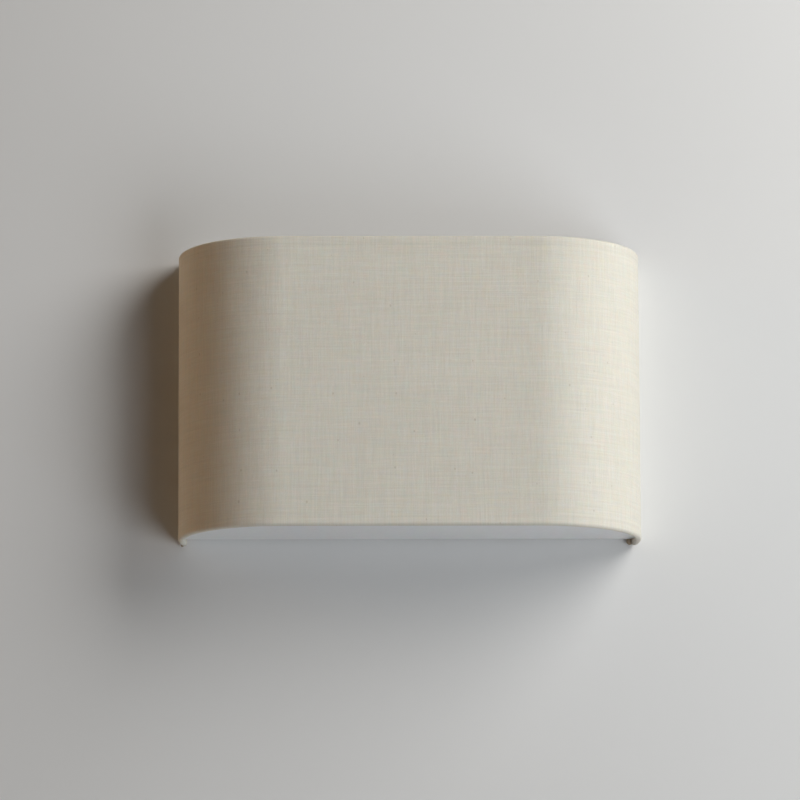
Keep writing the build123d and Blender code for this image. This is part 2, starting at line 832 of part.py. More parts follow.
def earth_fixing():
    """Earth screw and the washer between its tag and the backplate."""
    under_head = plate_inside + washer_thickness + tag_thickness
    shank = across(earth_screw, 0, earth_rise, -plate_depth - earth_tip, under_head)
    head = across(earth_head, 0, earth_rise, under_head, under_head + earth_head_height)
    return shank + head


def earth_washer():
    """Toothed washer between the earth tag and the backplate."""
    disc = across(washer_diameter, 0, earth_rise, plate_inside, plate_inside + washer_thickness)
    hole = across(earth_screw + 2 * stud_fit, 0, earth_rise, plate_inside, 0)
    return disc - hole


# Writing the pieces

def save(node, shape):
    """Writes one piece, or one group of like fasteners, under its node's name."""
    group = Compound(children=shape) if isinstance(shape, list) else shape
    export_step(group, f"parts/{node}.step")


save("shade_linen", shade_linen())
save("shade_lining", shade_lining())
save("diffuser", diffuser())
save("wall_strap", wall_strap())
save("strap_studs", strap_studs())
save("backplate", backplate())
save("clip_rivets", clip_rivets())
save("bracket_rivets", bracket_rivets())
save("nipple_locknuts", nipple_locknuts())
save("terminal_block", terminal_block())
save("terminal_inserts", terminal_inserts())
save("clamp_screws", clamp_screws())
save("block_screws", block_screws())
save("earth_lead", earth_core())
save("earth_tag", earth_tag())
save("earth_screw", earth_fixing())
save("earth_washer", earth_washer())
for level, end in both_ends:
    save(f"{level}_ring", shade_ring(end))
    save(f"{level}_cross_bar", cross_bar(end))
for hand, side in both_sides:
    save(f"{hand}_strut", shade_strut(side))
    save(f"{hand}_cap_nut", cap_nut(side))
    save(f"{hand}_lampholder_bracket", lampholder_bracket(side))
    save(f"{hand}_lampholder_body", lampholder_body(side))
    save(f"{hand}_lampholder_shell", lampholder_shell(side))
    save(f"{hand}_lampholder_contact", lampholder_contact(side))
    save(f"{hand}_nipple", nipple(side))
    save(f"{hand}_wire_grommet", wire_grommet(side))
    save(f"{hand}_live_lead", lamp_core(side, 1, live_y))
    save(f"{hand}_neutral_lead", lamp_core(side, -1, neutral_y))
    save(f"{hand}_lamp_dome", lamp_dome(side))
    save(f"{hand}_lamp_collar", lamp_collar(side))
    save(f"{hand}_lamp_cap", lamp_cap(side))
    save(f"{hand}_lamp_insulator", lamp_insulator(side))
    save(f"{hand}_lamp_contact", lamp_contact(side))
    for level, end in both_ends:
        save(f"{level}_{hand}_clip", spring_clip(side, end))
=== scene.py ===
import json
import math
import bmesh
import bpy
import numpy as np
from mathutils import Matrix, Vector


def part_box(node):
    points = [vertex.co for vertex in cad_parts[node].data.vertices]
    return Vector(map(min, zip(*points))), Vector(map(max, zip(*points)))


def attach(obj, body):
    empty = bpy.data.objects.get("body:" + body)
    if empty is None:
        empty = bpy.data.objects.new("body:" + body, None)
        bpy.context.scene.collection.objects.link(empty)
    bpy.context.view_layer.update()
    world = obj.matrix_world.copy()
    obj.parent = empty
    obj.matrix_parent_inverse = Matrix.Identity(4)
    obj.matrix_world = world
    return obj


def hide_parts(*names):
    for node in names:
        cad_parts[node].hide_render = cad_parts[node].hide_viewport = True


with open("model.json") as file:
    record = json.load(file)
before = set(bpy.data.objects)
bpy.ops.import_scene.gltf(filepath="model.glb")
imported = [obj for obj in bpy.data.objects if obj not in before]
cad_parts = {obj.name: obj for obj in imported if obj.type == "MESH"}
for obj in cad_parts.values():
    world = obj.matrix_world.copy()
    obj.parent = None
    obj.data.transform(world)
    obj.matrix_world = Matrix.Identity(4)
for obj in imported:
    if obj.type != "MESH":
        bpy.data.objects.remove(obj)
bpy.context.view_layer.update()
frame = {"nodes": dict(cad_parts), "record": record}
mm = 0.001


# Camera: below the light, looking up at it from far off through a long lens
cameraSetting = {
    "aim": (0.0, -0.047, 0.0),    # middle of the shade
    "distance": 4.485,
    "lookUp": 10.48,              # degrees
    "lookRight": 1.13,
    "roll": -0.26,
    "lens": 267.4,
    "shift": (-0.0124, -0.0093),
    "seesTo": 50,
}


# The look ahead is a level direction tilted up. Across and upright are square to it, turned by the roll,
# and the camera stands back from its aim by its distance.
def makeCamera(setting):
    lookUp, lookRight, roll = (math.radians(setting[key]) for key in ("lookUp", "lookRight", "roll"))
    level = Vector((math.sin(lookRight), math.cos(lookRight), 0))
    ahead = level * math.cos(lookUp) + Vector((0, 0, math.sin(lookUp)))
    side = Vector((level.y, -level.x, 0))
    up = side.cross(ahead)
    across = side * math.cos(roll) + up * math.sin(roll)
    upright = up * math.cos(roll) - side * math.sin(roll)
    data = bpy.data.cameras.new("camera")
    data.lens = setting["lens"]
    data.shift_x, data.shift_y = setting["shift"]
    data.clip_end = setting["seesTo"]
    camera = bpy.data.objects.new("camera", data)
    stand = Vector(setting["aim"]) - ahead * setting["distance"]
    turn = Matrix((across, upright, -ahead)).transposed().to_4x4()
    camera.matrix_world = Matrix.Translation(stand) @ turn
    bpy.context.scene.collection.objects.link(camera)
    bpy.context.scene.camera = camera


makeCamera(cameraSetting)
print("camera placed")


# Nodes

# Adds one node. A socket's value is a plain value or another node's output.
def put(tree, kind, sockets=None, **settings):
    made = tree.nodes.new("ShaderNode" + kind)
    for key, value in settings.items():
        setattr(made, key, value)
    for key, value in (sockets or {}).items():
        if isinstance(value, bpy.types.NodeSocket):
            tree.links.new(value, made.inputs[key])
        else:
            made.inputs[key].default_value = value
    return made


# One operation on one, two or three numbers
def sums(tree, operation, *values):
    return put(tree, "Math", dict(enumerate(values)), operation=operation).outputs[0]


# Value from low to high, spread over toLow to toHigh
def spread(tree, value, low, high, toLow, toHigh):
    sockets = {"Value": value, "From Min": low, "From Max": high, "To Min": toLow, "To Max": toHigh}
    return put(tree, "MapRange", sockets).outputs[0]


# First number turning to the second as the share goes from 0 to 1
def blendNumber(tree, share, first, second):
    return put(tree, "Mix", {0: share, 2: first, 3: second}).outputs[0]


# Red, green and blue with a full fourth part
def colour4(rgb):
    return (*rgb, 1.0)


# Another node's colour as it is, or a plain one with its fourth part
def asColour(value):
    return value if isinstance(value, bpy.types.NodeSocket) else colour4(value)


# First colour turning to the second as the share goes from 0 to 1, or the two multiplied
def blendColour(tree, share, first, second, how="MIX"):
    node = put(tree, "Mix", data_type="RGBA", blend_type=how)
    wanted = (("Factor_Float", share), ("A_Color", asColour(first)), ("B_Color", asColour(second)))
    for name, value in wanted:
        socket = next(each for each in node.inputs if each.identifier == name)
        if isinstance(value, bpy.types.NodeSocket):
            tree.links.new(value, socket)
        else:
            socket.default_value = value
    return next(each for each in node.outputs if each.identifier == "Result_Color")


# The same colour at a share of its brightness
def dimmed(rgb, share):
    return tuple(share * part for part in rgb)


# Point of the piece, stretched by a factor for each axis
def objectPoint(tree, stretch=(1, 1, 1)):
    point = put(tree, "TexCoord").outputs["Object"]
    return put(tree, "Mapping", {"Vector": point, "Scale": stretch}).outputs[0]


# Soft noise whose patches are about 1 / scale across
def noise(tree, vector, scale, detail=2.0, roughness=0.5):
    sockets = {"Vector": vector, "Scale": scale, "Detail": detail, "Roughness": roughness}
    return put(tree, "TexNoise", sockets).outputs[0]


# 1 for rays that look at things, from the camera or by way of a shiny or clear piece, and 0 for the rest
def lookingRay(tree):
    rays = put(tree, "LightPath").outputs
    direct = sums(tree, "MAXIMUM", rays["Is Camera Ray"], rays["Is Glossy Ray"])
    return sums(tree, "MAXIMUM", direct, rays["Is Transmission Ray"])


# An empty material and its tree of nodes
def newMaterial(name):
    made = bpy.data.materials.new(name)
    made.use_nodes = True
    made.node_tree.nodes.clear()
    return made, made.node_tree


# The shader that all the finishes end in
def finishMaterial(tree, sockets):
    shader = put(tree, "BsdfPrincipled", sockets)
    put(tree, "OutputMaterial", {"Surface": shader.outputs[0]})


# Meshes

# Quads of a grid of points with rows along its first index
def gridFaces(rows, columns, closeRows=False, closeColumns=False):
    row = np.arange(rows if closeRows else rows - 1)[:, None]
    column = np.arange(columns if closeColumns else columns - 1)[None, :]
    nextRow, nextColumn = (row + 1) % rows, (column + 1) % columns
    corners = [row * columns + column, row * columns + nextColumn,
               nextRow * columns + nextColumn, nextRow * columns + column]
    return np.stack(np.broadcast_arrays(*corners), -1).reshape(-1, 4)


# Several grids of points, each with its faces and its places on the cloth, as one mesh
def addMesh(name, grids, smooth=True):
    starts = np.cumsum([0] + [points.size // 3 for points, _, _ in grids])
    points = np.concatenate([points.reshape(-1, 3) for points, _, _ in grids])
    faces = np.concatenate([faces + start for (_, faces, _), start in zip(grids, starts)])
    mesh = bpy.data.meshes.new(name)
    mesh.from_pydata(points, [], faces)
    if grids[0][2] is not None:
        uv = np.concatenate([uv.reshape(-1, 2) for _, _, uv in grids])
        corners = np.empty(len(mesh.loops), np.int32)
        mesh.loops.foreach_get("vertex_index", corners)
        mesh.uv_layers.new(name="threads").data.foreach_set("uv", uv[corners].ravel())
    mesh.polygons.foreach_set("use_smooth", np.full(len(mesh.polygons), smooth))
    made = bpy.data.objects.new(name, mesh)
    bpy.context.scene.collection.objects.link(made)
    return made


solidSetting = {"merge": 0.001 * mm, "sharp": 40}      # degrees from which an edge is sharp


# A hard piece from closed shells: poles merged, faces turned outwards and edges made sharp
def addSolid(name, shells):
    made = addMesh(name, [(points, faces, None) for points, faces in shells])
    work = bmesh.new()
    work.from_mesh(made.data)
    bmesh.ops.remove_doubles(work, verts=work.verts, dist=solidSetting["merge"])
    bmesh.ops.recalc_face_normals(work, faces=work.faces)
    work.to_mesh(made.data)
    work.free()
    made.data.set_sharp_from_angle(angle=math.radians(solidSetting["sharp"]))
    return made


# 0 below low and 1 above high, with a soft curve between them: 3 t squared less 2 t cubed
def smoothStep(x, low, high):
    t = np.clip((x - low) / (high - low), 0, 1)
    return t * t * (3 - 2 * t)


# Even, seeded waves: a sum of sines whose lengths lie about a given one
def wobble(x, length, seed, waves=5):
    dice = np.random.default_rng(seed)
    lengths = length * dice.uniform(0.6, 1.8, waves)
    phases = dice.uniform(0, 2 * np.pi, waves)
    waveSum = sum(np.sin(2 * np.pi * x / each + phase) for each, phase in zip(lengths, phases))
    return waveSum / math.sqrt(waves)


# Boxes of the separate solids of a node, found by gaps along x and then along z
def solidBoxes(node, gap=1.0 * mm):
    mesh = frame["nodes"][node].data
    points = np.empty(len(mesh.vertices) * 3)
    mesh.vertices.foreach_get("co", points)
    groups = [points.reshape(-1, 3)]
    for axis in (0, 2):
        finer = []
        for group in groups:
            group = group[np.argsort(group[:, axis])]
            cuts = np.nonzero(np.diff(group[:, axis]) > gap)[0] + 1
            finer += np.split(group, cuts)
        groups = finer
    return [(group.min(0), group.max(0)) for group in groups]


# Stage: a pale wall behind the light and a pale floor far below it
stageSetting = {
    "wallColour": (0.757, 0.765, 0.77),
    "wallAt": 0.0006,
    "wallReach": 1.3,
    "floorColour": (0.60, 0.60, 0.595),
    "floorAt": -2.6,
    "floorReach": 9.0,
    "window": (0.165, 0.100),     # half width and half height of the part that lets lamps through
}


# A flat piece of the stage between its four corners
def stagePlane(name, corners, material):
    made = addMesh(name, [(np.array(corners), np.array([(0, 1, 2, 3)]), None)], smooth=False)
    made.data.materials.append(material)


# Matt paint, seen from its front only. Straight behind the light it lets the lamps shine through, so that
# the light's back can be looked at: hidden is the greater of the back face and a shadow ray in the window.
def wallMaterial(rgb, window):
    made, tree = newMaterial("wallPaint")
    geometry = put(tree, "NewGeometry").outputs
    spot = put(tree, "SeparateXYZ", {0: geometry["Position"]}).outputs
    inside = [sums(tree, "LESS_THAN", sums(tree, "ABSOLUTE", spot[axis]), half)
              for axis, half in zip((0, 2), window)]
    shadow = put(tree, "LightPath").outputs["Is Shadow Ray"]
    through = sums(tree, "MULTIPLY", shadow, sums(tree, "MULTIPLY", *inside))
    hidden = sums(tree, "MAXIMUM", geometry["Backfacing"], through)
    paint = put(tree, "BsdfDiffuse", {"Color": colour4(rgb)})
    clear = put(tree, "BsdfTransparent")
    mix = put(tree, "MixShader", {0: hidden, 1: paint.outputs[0], 2: clear.outputs[0]})
    put(tree, "OutputMaterial", {"Surface": mix.outputs[0]})
    return made


# Matt paint that reflects the lamps. It lies beyond most of their light, so looking rays see it at its
# plain colour.
def floorMaterial(rgb):
    made, tree = newMaterial("floorPaint")
    paint = put(tree, "BsdfDiffuse", {"Color": colour4(rgb)})
    plain = put(tree, "Emission", {"Color": colour4(rgb), "Strength": 1.0})
    mix = put(tree, "MixShader", {0: lookingRay(tree), 1: paint.outputs[0], 2: plain.outputs[0]})
    put(tree, "OutputMaterial", {"Surface": mix.outputs[0]})
    return made


# The wall stands upright at wallAt and the floor lies level at floorAt, each square about the middle
def makeStage(setting):
    wide, y = setting["wallReach"], setting["wallAt"]
    wall = wallMaterial(setting["wallColour"], setting["window"])
    stagePlane("wall", [(-wide, y, -wide), (wide, y, -wide), (wide, y, wide), (-wide, y, wide)], wall)
    far, z = setting["floorReach"], setting["floorAt"]
    floor = floorMaterial(setting["floorColour"])
    stagePlane("floor", [(-far, -far, z), (far, -far, z), (far, far, z), (-far, far, z)], floor)


makeStage(stageSetting)


# Lamps: a tall soft key from the right, a low fill, a dim warm one from far left, and two behind the wall.
# Each stands at an angle round the light (0 is straight ahead of it, 90 to its right) and one above it.
lightSetting = {
    "key": {"round": 50, "above": 27, "away": 1.95, "size": (1.15, 1.6), "power": 30.8,
            "colour": (1.0, 0.98, 0.94)},
    "low": {"round": 41, "above": -26, "away": 2.6, "size": (1.7, 1.8), "power": 25.6,
            "colour": (0.935, 0.97, 1.0)},
    "warm": {"round": -85, "above": 10, "away": 2.6, "size": (1.5, 2.2), "power": 15.8,
             "colour": (1.0, 0.55, 0.18)},
    "behindLeft": {"round": -145, "above": 20, "away": 2.6, "size": (1.5, 1.5), "power": 30,
                   "colour": (1.0, 1.0, 1.0)},
    "behindRight": {"round": 140, "above": 10, "away": 2.6, "size": (1.5, 1.5), "power": 22,
                    "colour": (1.0, 1.0, 1.0)},
}
skySetting = {"colour": (1.0, 1.0, 1.0), "light": 0.015, "seen": 0.78}


# A soft oval lamp that faces the light. It stands at its distance times sine of round by cosine of above to
# the right, cosine of round by cosine of above out from the wall, and sine of above up.
def makeLamp(name, setting):
    data = bpy.data.lights.new(name, "AREA")
    data.shape = "ELLIPSE"
    data.size, data.size_y = setting["size"]
    data.energy, data.color = setting["power"], setting["colour"]
    lamp = bpy.data.objects.new(name, data)
    turn, rise = math.radians(setting["round"]), math.radians(setting["above"])
    out = Vector((math.sin(turn) * math.cos(rise), -math.cos(turn) * math.cos(rise), math.sin(rise)))
    lamp.location = out * setting["away"]
    lamp.rotation_euler = (-out).to_track_quat("-Z", "Y").to_euler()
    lamp.visible_camera = False
    bpy.context.scene.collection.objects.link(lamp)


# The sky lights the scene dimly and looks pale to looking rays
def makeSky(setting):
    sky = bpy.data.worlds.new("sky")
    sky.use_nodes = True
    tree = sky.node_tree
    tree.nodes.clear()
    strength = spread(tree, lookingRay(tree), 0, 1, setting["light"], setting["seen"])
    background = put(tree, "Background", {"Color": colour4(setting["colour"]), "Strength": strength})
    put(tree, "OutputWorld", {"Surface": background.outputs[0]})
    bpy.context.scene.world = sky
    bpy.context.scene.view_settings.view_transform = "Standard"


for lampName, lampSetting in lightSetting.items():
    makeLamp(lampName, lampSetting)
makeSky(skySetting)
print("stage and lamps set")


# Sizes of the shade, read from the frame where a node shows them
def readShade():
    skin, ring, strut = (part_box(node) for node in ("shade_linen", "upper_ring", "right_strut"))
    sizes = {
        "halfWidth": skin[1].x,
        "halfHeight": skin[1].z,
        "front": skin[0].y,
        "cornerRadius": 80 * mm,
        "ringWire": ring[1].z - ring[0].z,
        "strutWire": strut[1].x - strut[0].x,
        "strut": ((strut[0].x + strut[1].x) / 2, (strut[0].y + strut[1].y) / 2),
        "cloth": 0.6 * mm,
        "wireFit": 0.1 * mm,
    }
    sizes["roll"] = sizes["ringWire"] / 2 + sizes["wireFit"] + sizes["cloth"] / 2     # of the hem's middle
    sizes["rollInset"] = sizes["roll"] + sizes["cloth"] / 2
    sizes["ringZ"] = sizes["halfHeight"] - sizes["rollInset"]
    sizes["cornerX"] = sizes["halfWidth"] - sizes["cornerRadius"]
    sizes["cornerY"] = sizes["front"] + sizes["cornerRadius"]
    strutX, strutY = sizes["strut"]
    sizes["turnIn"] = math.atan2(strutY - sizes["cornerY"], strutX - sizes["cornerX"])
    sizes["halfPath"] = sizes["cornerX"] + sizes["cornerRadius"] * (math.pi / 2 + sizes["turnIn"])
    return sizes


shade = readShade()


# Plan of the shade: straight across the front, then round both corners and in towards the wall.
# Gives x and y at each distance from the middle of the front, for a depth below the outer face.
def planLine(along, inset):
    turn = np.maximum(np.abs(along) - shade["cornerX"], 0) / shade["cornerRadius"]
    radius = shade["cornerRadius"] - inset
    x = np.sign(along) * (np.minimum(np.abs(along), shade["cornerX"]) + radius * np.sin(turn))
    return x, shade["cornerY"] - radius * np.cos(turn)


# Linen: one cut of cloth, rolled over the rings at its top and bottom and round the struts at its sides
linenSetting = {
    "step": 2.1 * mm,            # between the grid's columns
    "rise": 2.4 * mm,            # between its rows on the flat
    "rollRows": 30,
    "rollTurn": 312,             # degrees that a hem goes round its ring
    "cornerTurn": 150,           # the same where the hem is snipped at a strut
    "snip": 6.0 * mm,            # length of that snip
    "hemRidge": 0.20 * mm,       # how far the hem stands proud of the skin
    "ridgeAt": 5.2 * mm,         # its height, and how far below and above that it fades
    "ridgeFade": (1.5 * mm, 0.9 * mm),
    "crease": 0.09 * mm,         # depth of the line pressed beside it, and how far above it and how wide
    "creaseUp": 1.5 * mm,
    "creaseWidth": 0.9 * mm,
    "ripple": 0.05 * mm,         # unevenness of the glued skin, and its lengths and slants along and up
    "rippleLength": (46 * mm, 61 * mm),
    "rippleSlant": (0.4, -0.2),
    "tuck": 0.14 * mm,           # of the cloth inside the hem, full at the corners and less in front
    "tuckLength": 5.2 * mm,
    "tuckWaves": 7,
    "tuckInFront": 0.35,
    "tuckGrows": 12 * mm,
    "inside": (1.3, 3.2),        # hem radii past the ring where the tucks begin and are full
    "strutPress": 0.25 * mm,     # the skin sinks by this towards a strut, over the next length
    "strutPressOver": 4 * mm,
    "seed": 4,
    "thickness": 0.9,            # of the cloth's own, since its threads stand out
}


# Skin: each column is a section of the cloth, from the inner end of its top hem, round the ring, straight
# down the outside and round the bottom ring. The section is carried along the plan, with a ridge at the
# hems, slow ripples on the skin and short tucks inside the hems.
def skinGrid(cut):
    columns = int(2 * shade["halfPath"] / cut["step"])
    along = np.linspace(-shade["halfPath"], shade["halfPath"], columns)[:, None]
    toStrut = np.abs(along) - shade["halfPath"]
    snipped = smoothStep(toStrut, -cut["snip"], -cut["snip"] / 3)
    turn = np.radians(cut["rollTurn"] - (cut["rollTurn"] - cut["cornerTurn"]) * snipped)
    angle = turn * np.linspace(1, 0, cut["rollRows"])
    rollInset = shade["rollInset"] - shade["roll"] * np.cos(angle)
    rollRise = shade["ringZ"] + shade["roll"] * np.sin(angle)
    rollLength = shade["ringZ"] + shade["roll"] * angle
    rows = int(2 * shade["ringZ"] / cut["rise"])
    flatZ = np.linspace(shade["ringZ"], -shade["ringZ"], rows)[1:-1] + 0 * along
    flatInset = np.full(flatZ.shape, shade["cloth"] / 2)
    inset = np.hstack([rollInset, flatInset, rollInset[:, ::-1]])
    z = np.hstack([rollRise, flatZ, -rollRise[:, ::-1]])
    length = np.hstack([rollLength, flatZ, -rollLength[:, ::-1]])
    begin, full = (shade["roll"] * part for part in cut["inside"])
    inside = smoothStep(np.abs(length) - shade["ringZ"], begin, full)
    edge = shade["halfHeight"] - np.abs(z)
    below, above = cut["ridgeFade"]
    ridge = cut["hemRidge"] * (1 - smoothStep(edge, cut["ridgeAt"] - below, cut["ridgeAt"] + above))
    fromCrease = (edge - cut["ridgeAt"] - cut["creaseUp"]) / cut["creaseWidth"]
    crease = cut["crease"] * np.exp(-(fromCrease**2))
    (long, tall), (slant, lean) = cut["rippleLength"], cut["rippleSlant"]
    ripple = wobble(along + slant * z, long, cut["seed"])
    ripple = ripple * wobble(z + lean * along, tall, cut["seed"] + 1)
    corner = smoothStep(np.abs(along), shade["cornerX"], shade["cornerX"] + cut["tuckGrows"])
    deep = cut["tuckInFront"] + (1 - cut["tuckInFront"]) * corner
    folds = wobble(along, cut["tuckLength"], cut["seed"] + 2, cut["tuckWaves"])
    tuck = cut["tuck"] * deep * folds * inside
    atStrut = cut["strutPress"] * smoothStep(toStrut, -cut["strutPressOver"], 0)
    outward = (ridge - crease + cut["ripple"] * ripple) * (1 - inside) + tuck - atStrut
    x, y = planLine(along, inset - outward)
    points = np.stack([x, y, z], -1)
    uv = np.stack([along + 0 * z, length], -1)
    return points, gridFaces(*z.shape), uv


sideHemSetting = {
    "turn": 318,                 # degrees round the strut
    "start": -14,                # degrees ahead of the skin's own direction
    "rows": 120,
    "columns": 30,
    "wave": 0.07 * mm,           # unevenness of the tube, and its length and its shift to the turn
    "waveLength": 17 * mm,
    "waveShift": 3 * mm,
    "seed": 11,
}


# Side hem: the cloth rolled round a strut as a slightly uneven tube that closes at its ends like a ball
def sideHemGrid(side, cut):
    radius = shade["strutWire"] / 2 + shade["wireFit"] + shade["cloth"] / 2
    top = shade["halfHeight"] - shade["cloth"] / 2
    z = top * np.sin(np.linspace(-math.pi / 2, math.pi / 2, cut["rows"]))
    closing = np.clip((np.abs(z) - (top - radius)) / radius, 0, 1)
    ends = np.sqrt(1 - closing**2)
    start = shade["turnIn"] + math.radians(cut["start"])
    angle = start + np.linspace(0, math.radians(cut["turn"]), cut["columns"])[:, None]
    wave = wobble(z + cut["waveShift"] * angle, cut["waveLength"], cut["seed"] + side)
    uneven = (radius + cut["wave"] * wave) * ends
    x = side * (shade["strut"][0] + uneven * np.cos(angle))
    y = shade["strut"][1] + uneven * np.sin(angle)
    points = np.stack([x, y, z + 0 * angle], -1)
    uv = np.stack(np.broadcast_arrays(side * (shade["halfPath"] + radius * (angle - start)), z), -1)
    faces = gridFaces(cut["columns"], cut["rows"])
    return points, faces if side > 0 else faces[:, ::-1], uv


# The cloth's raw end, gathered up beside each strut's foot. Pairs are left and right.
tuckSetting = {
    "inward": (-1.5 * mm, 3.7 * mm),    # from the strut's middle
    "backward": 0.7 * mm,
    "wide": (0.9 * mm, 2.0 * mm),
    "deep": (0.8 * mm, 1.25 * mm),
    "top": (-108.4 * mm, -102.8 * mm),
    "foot": (-110.3 * mm, -109.3 * mm),
    "crumple": 0.13,                    # share of the radius, and its waves round the tuck and up it
    "wavesRound": 3,
    "twist": 2.2,
    "wavesUp": 2.6,
    "around": 28,
    "rows": 22,
    "rawFrom": 11 * mm,                 # along the cloth from the strut to its raw end, browned by glue and by painted shade
    "rawPast": 2 * mm,                  # how far past that the tuck lies
}
rawAt = shade["halfPath"] + tuckSetting["rawFrom"]


# Tuck: a crumpled, slightly flat tube that closes at its ends like a ball. Its radius is wide or deep,
# times the root of 1 less the closing squared, times 1 plus the crumple.
def tuckGrid(side, cut):
    wide, deep, inward = (cut[key][side > 0] for key in ("wide", "deep", "inward"))
    top, foot = (cut[key][side > 0] for key in ("top", "foot"))
    half = (top - foot) / 2
    up = np.sin(np.linspace(-math.pi / 2, math.pi / 2, cut["rows"]))
    angle = np.linspace(0, 2 * math.pi, cut["around"], endpoint=False)[:, None]
    closing = np.clip((np.abs(up) * half - (half - wide)) / wide, 0, 1)
    waves = np.sin(cut["wavesRound"] * angle + cut["twist"] * up + side) * np.cos(cut["wavesUp"] * up - 1)
    size = np.sqrt(1 - closing**2) * (1 + cut["crumple"] * waves)
    x = side * (shade["strut"][0] - inward + wide * size * np.cos(angle))
    y = shade["strut"][1] + cut["backward"] + deep * size * np.sin(angle)
    z = half * up + (top + foot) / 2 + 0 * angle
    uv = np.stack([side * (rawAt + cut["rawPast"] + wide * angle) + 0 * up, z], -1)
    return np.stack([x, y, z], -1), gridFaces(cut["around"], cut["rows"], True), uv


# Linen cloth: warp threads run up and down, weft threads along the shade. Each thread has its own tone,
# which drifts along it, and threads are thick and thin in places. Bands of threads differ a little as well,
# and the cloth has small dark specks of stalk.
clothSetting = {
    "thread": 0.52 * mm,         # from one thread to the next
    "colour": (0.800, 0.779, 0.700),
    "darkThread": (0.655, 0.605, 0.490),
    "paleThread": (0.870, 0.850, 0.785),
    "speck": (0.40, 0.33, 0.22),
    "rawEndGlueAndShade": (0.33, 0.25, 0.17),
    "tones": ((24 * mm, 8.3), (16 * mm, 1.7)),        # how far each lasts along its thread, and its seed,
    "slubs": ((12.8 * mm, 33.9), (8 * mm, 21.1)),     # of the weft and of the warp
    "bands": ((54.6 * mm, 51.3), (42 * mm, 64.7)),
    "toneDepth": (0.33, 0.40),   # of the weft and of the warp
    "bandDepth": 0.032,
    "slubShare": 0.4,            # how far a slub turns to the pale thread
    "slubHeight": 0.7,
    "patches": 16.0,             # to a metre, and how far they turn to the dark thread
    "patchShare": 0.08,
    "hues": ((3.1, (1.026, 1.0, 0.968), (0.974, 1.0, 1.032)),        # warm to cool, after its seed
             (7.7, (1.014, 0.986, 1.006), (0.986, 1.014, 0.994))),   # pink to green
    "hueWidth": 3.2 * mm,
    "hueLength": 15 * mm,
    "specks": 46.0,              # to a metre, each way, before thinning
    "speckTall": 0.72,           # 1 is round, less is taller
    "speckSize": (0.015, 0.046),
    "speckShare": 0.50,          # of those kept
    "speckDepth": 0.32,
    "rawFade": 1 * mm,
    "glueAndShadeShare": 0.9,
    "gapShade": (0.82, 1.02),    # painted shade between threads and painted highlight on top of them
    "creaseShade": 0.975,        # painted shade in the line pressed beside the hems, full and faded at these distances
    "creaseLine": (0.3 * mm, 1.3 * mm),
    "bump": 0.16 * mm,
    "bumpShare": 0.7,
    "roughness": 0.93,
    "shine": 0.12,
    "fuzz": 0.12,
    "fuzzRoughness": 0.5,
}


# Tone of the threads that run one way: noise that is stepped or smooth across them and slow along them
def threadTone(tree, across, along, length, seed, stepped=True):
    number = sums(tree, "FLOOR", across) if stepped else across
    apart = sums(tree, "MULTIPLY", number, 1.73 if stepped else 0.42)     # neighbours differ, or run together
    spot = put(tree, "CombineXYZ", {0: apart, 1: sums(tree, "DIVIDE", along, length), 2: seed})
    return noise(tree, spot.outputs[0], 1.0, detail=1.0, roughness=0.6)


# The same for both ways of the weave, each with its own length and seed
def weaveTones(tree, ways, tones, thread, stepped=True):
    return [threadTone(tree, across, along, length / thread, seed, stepped)
            for (across, along), (length, seed) in zip(ways, tones)]


# Slow change of hue along groups of threads, up the cloth and along it
def hueDrift(tree, split, cloth, seed):
    drifts = []
    for wide, long in ((split[0], split[1]), (split[1], split[0])):
        spot = {0: sums(tree, "DIVIDE", wide, cloth["hueWidth"]),
                1: sums(tree, "DIVIDE", long, cloth["hueLength"]), 2: seed}
        vector = put(tree, "CombineXYZ", spot).outputs[0]
        drifts.append(noise(tree, vector, 1.0, detail=3.0, roughness=0.7))
    return spread(tree, sums(tree, "ADD", *drifts), 0.7, 1.3, 0, 1)


# Roundness across a thread, times how far it lies on top: it goes over one thread and under the next
def threadHeight(tree, across, along, shift):
    centred = sums(tree, "SUBTRACT", sums(tree, "FRACT", across), 0.5)
    crown = sums(tree, "COSINE", sums(tree, "MULTIPLY", centred, math.pi))
    count = sums(tree, "ADD", sums(tree, "ADD", along, sums(tree, "FLOOR", across)), shift)
    over = sums(tree, "COSINE", sums(tree, "MULTIPLY", count, math.pi))
    return sums(tree, "MULTIPLY", crown, spread(tree, over, -1, 1, 0.15, 1))


# Share of a speck of stalk at each place: cells of random size, of which only some are kept
def stalkSpecks(tree, uv, cloth):
    cells = put(tree, "Mapping", {"Vector": uv, "Scale": (1.0, cloth["speckTall"], 1.0)}).outputs[0]
    sockets = {"Vector": cells, "Scale": cloth["specks"]}
    found = put(tree, "TexVoronoi", sockets, voronoi_dimensions="2D").outputs
    chance = put(tree, "SeparateColor", {0: found["Color"]}).outputs
    size = spread(tree, chance[1], 0, 1, *cloth["speckSize"])
    near = spread(tree, sums(tree, "DIVIDE", found["Distance"], size), 0.5, 1.0, 1, 0)
    kept = sums(tree, "LESS_THAN", chance[0], cloth["speckShare"])
    return sums(tree, "MULTIPLY", sums(tree, "MULTIPLY", near, kept), cloth["speckDepth"])
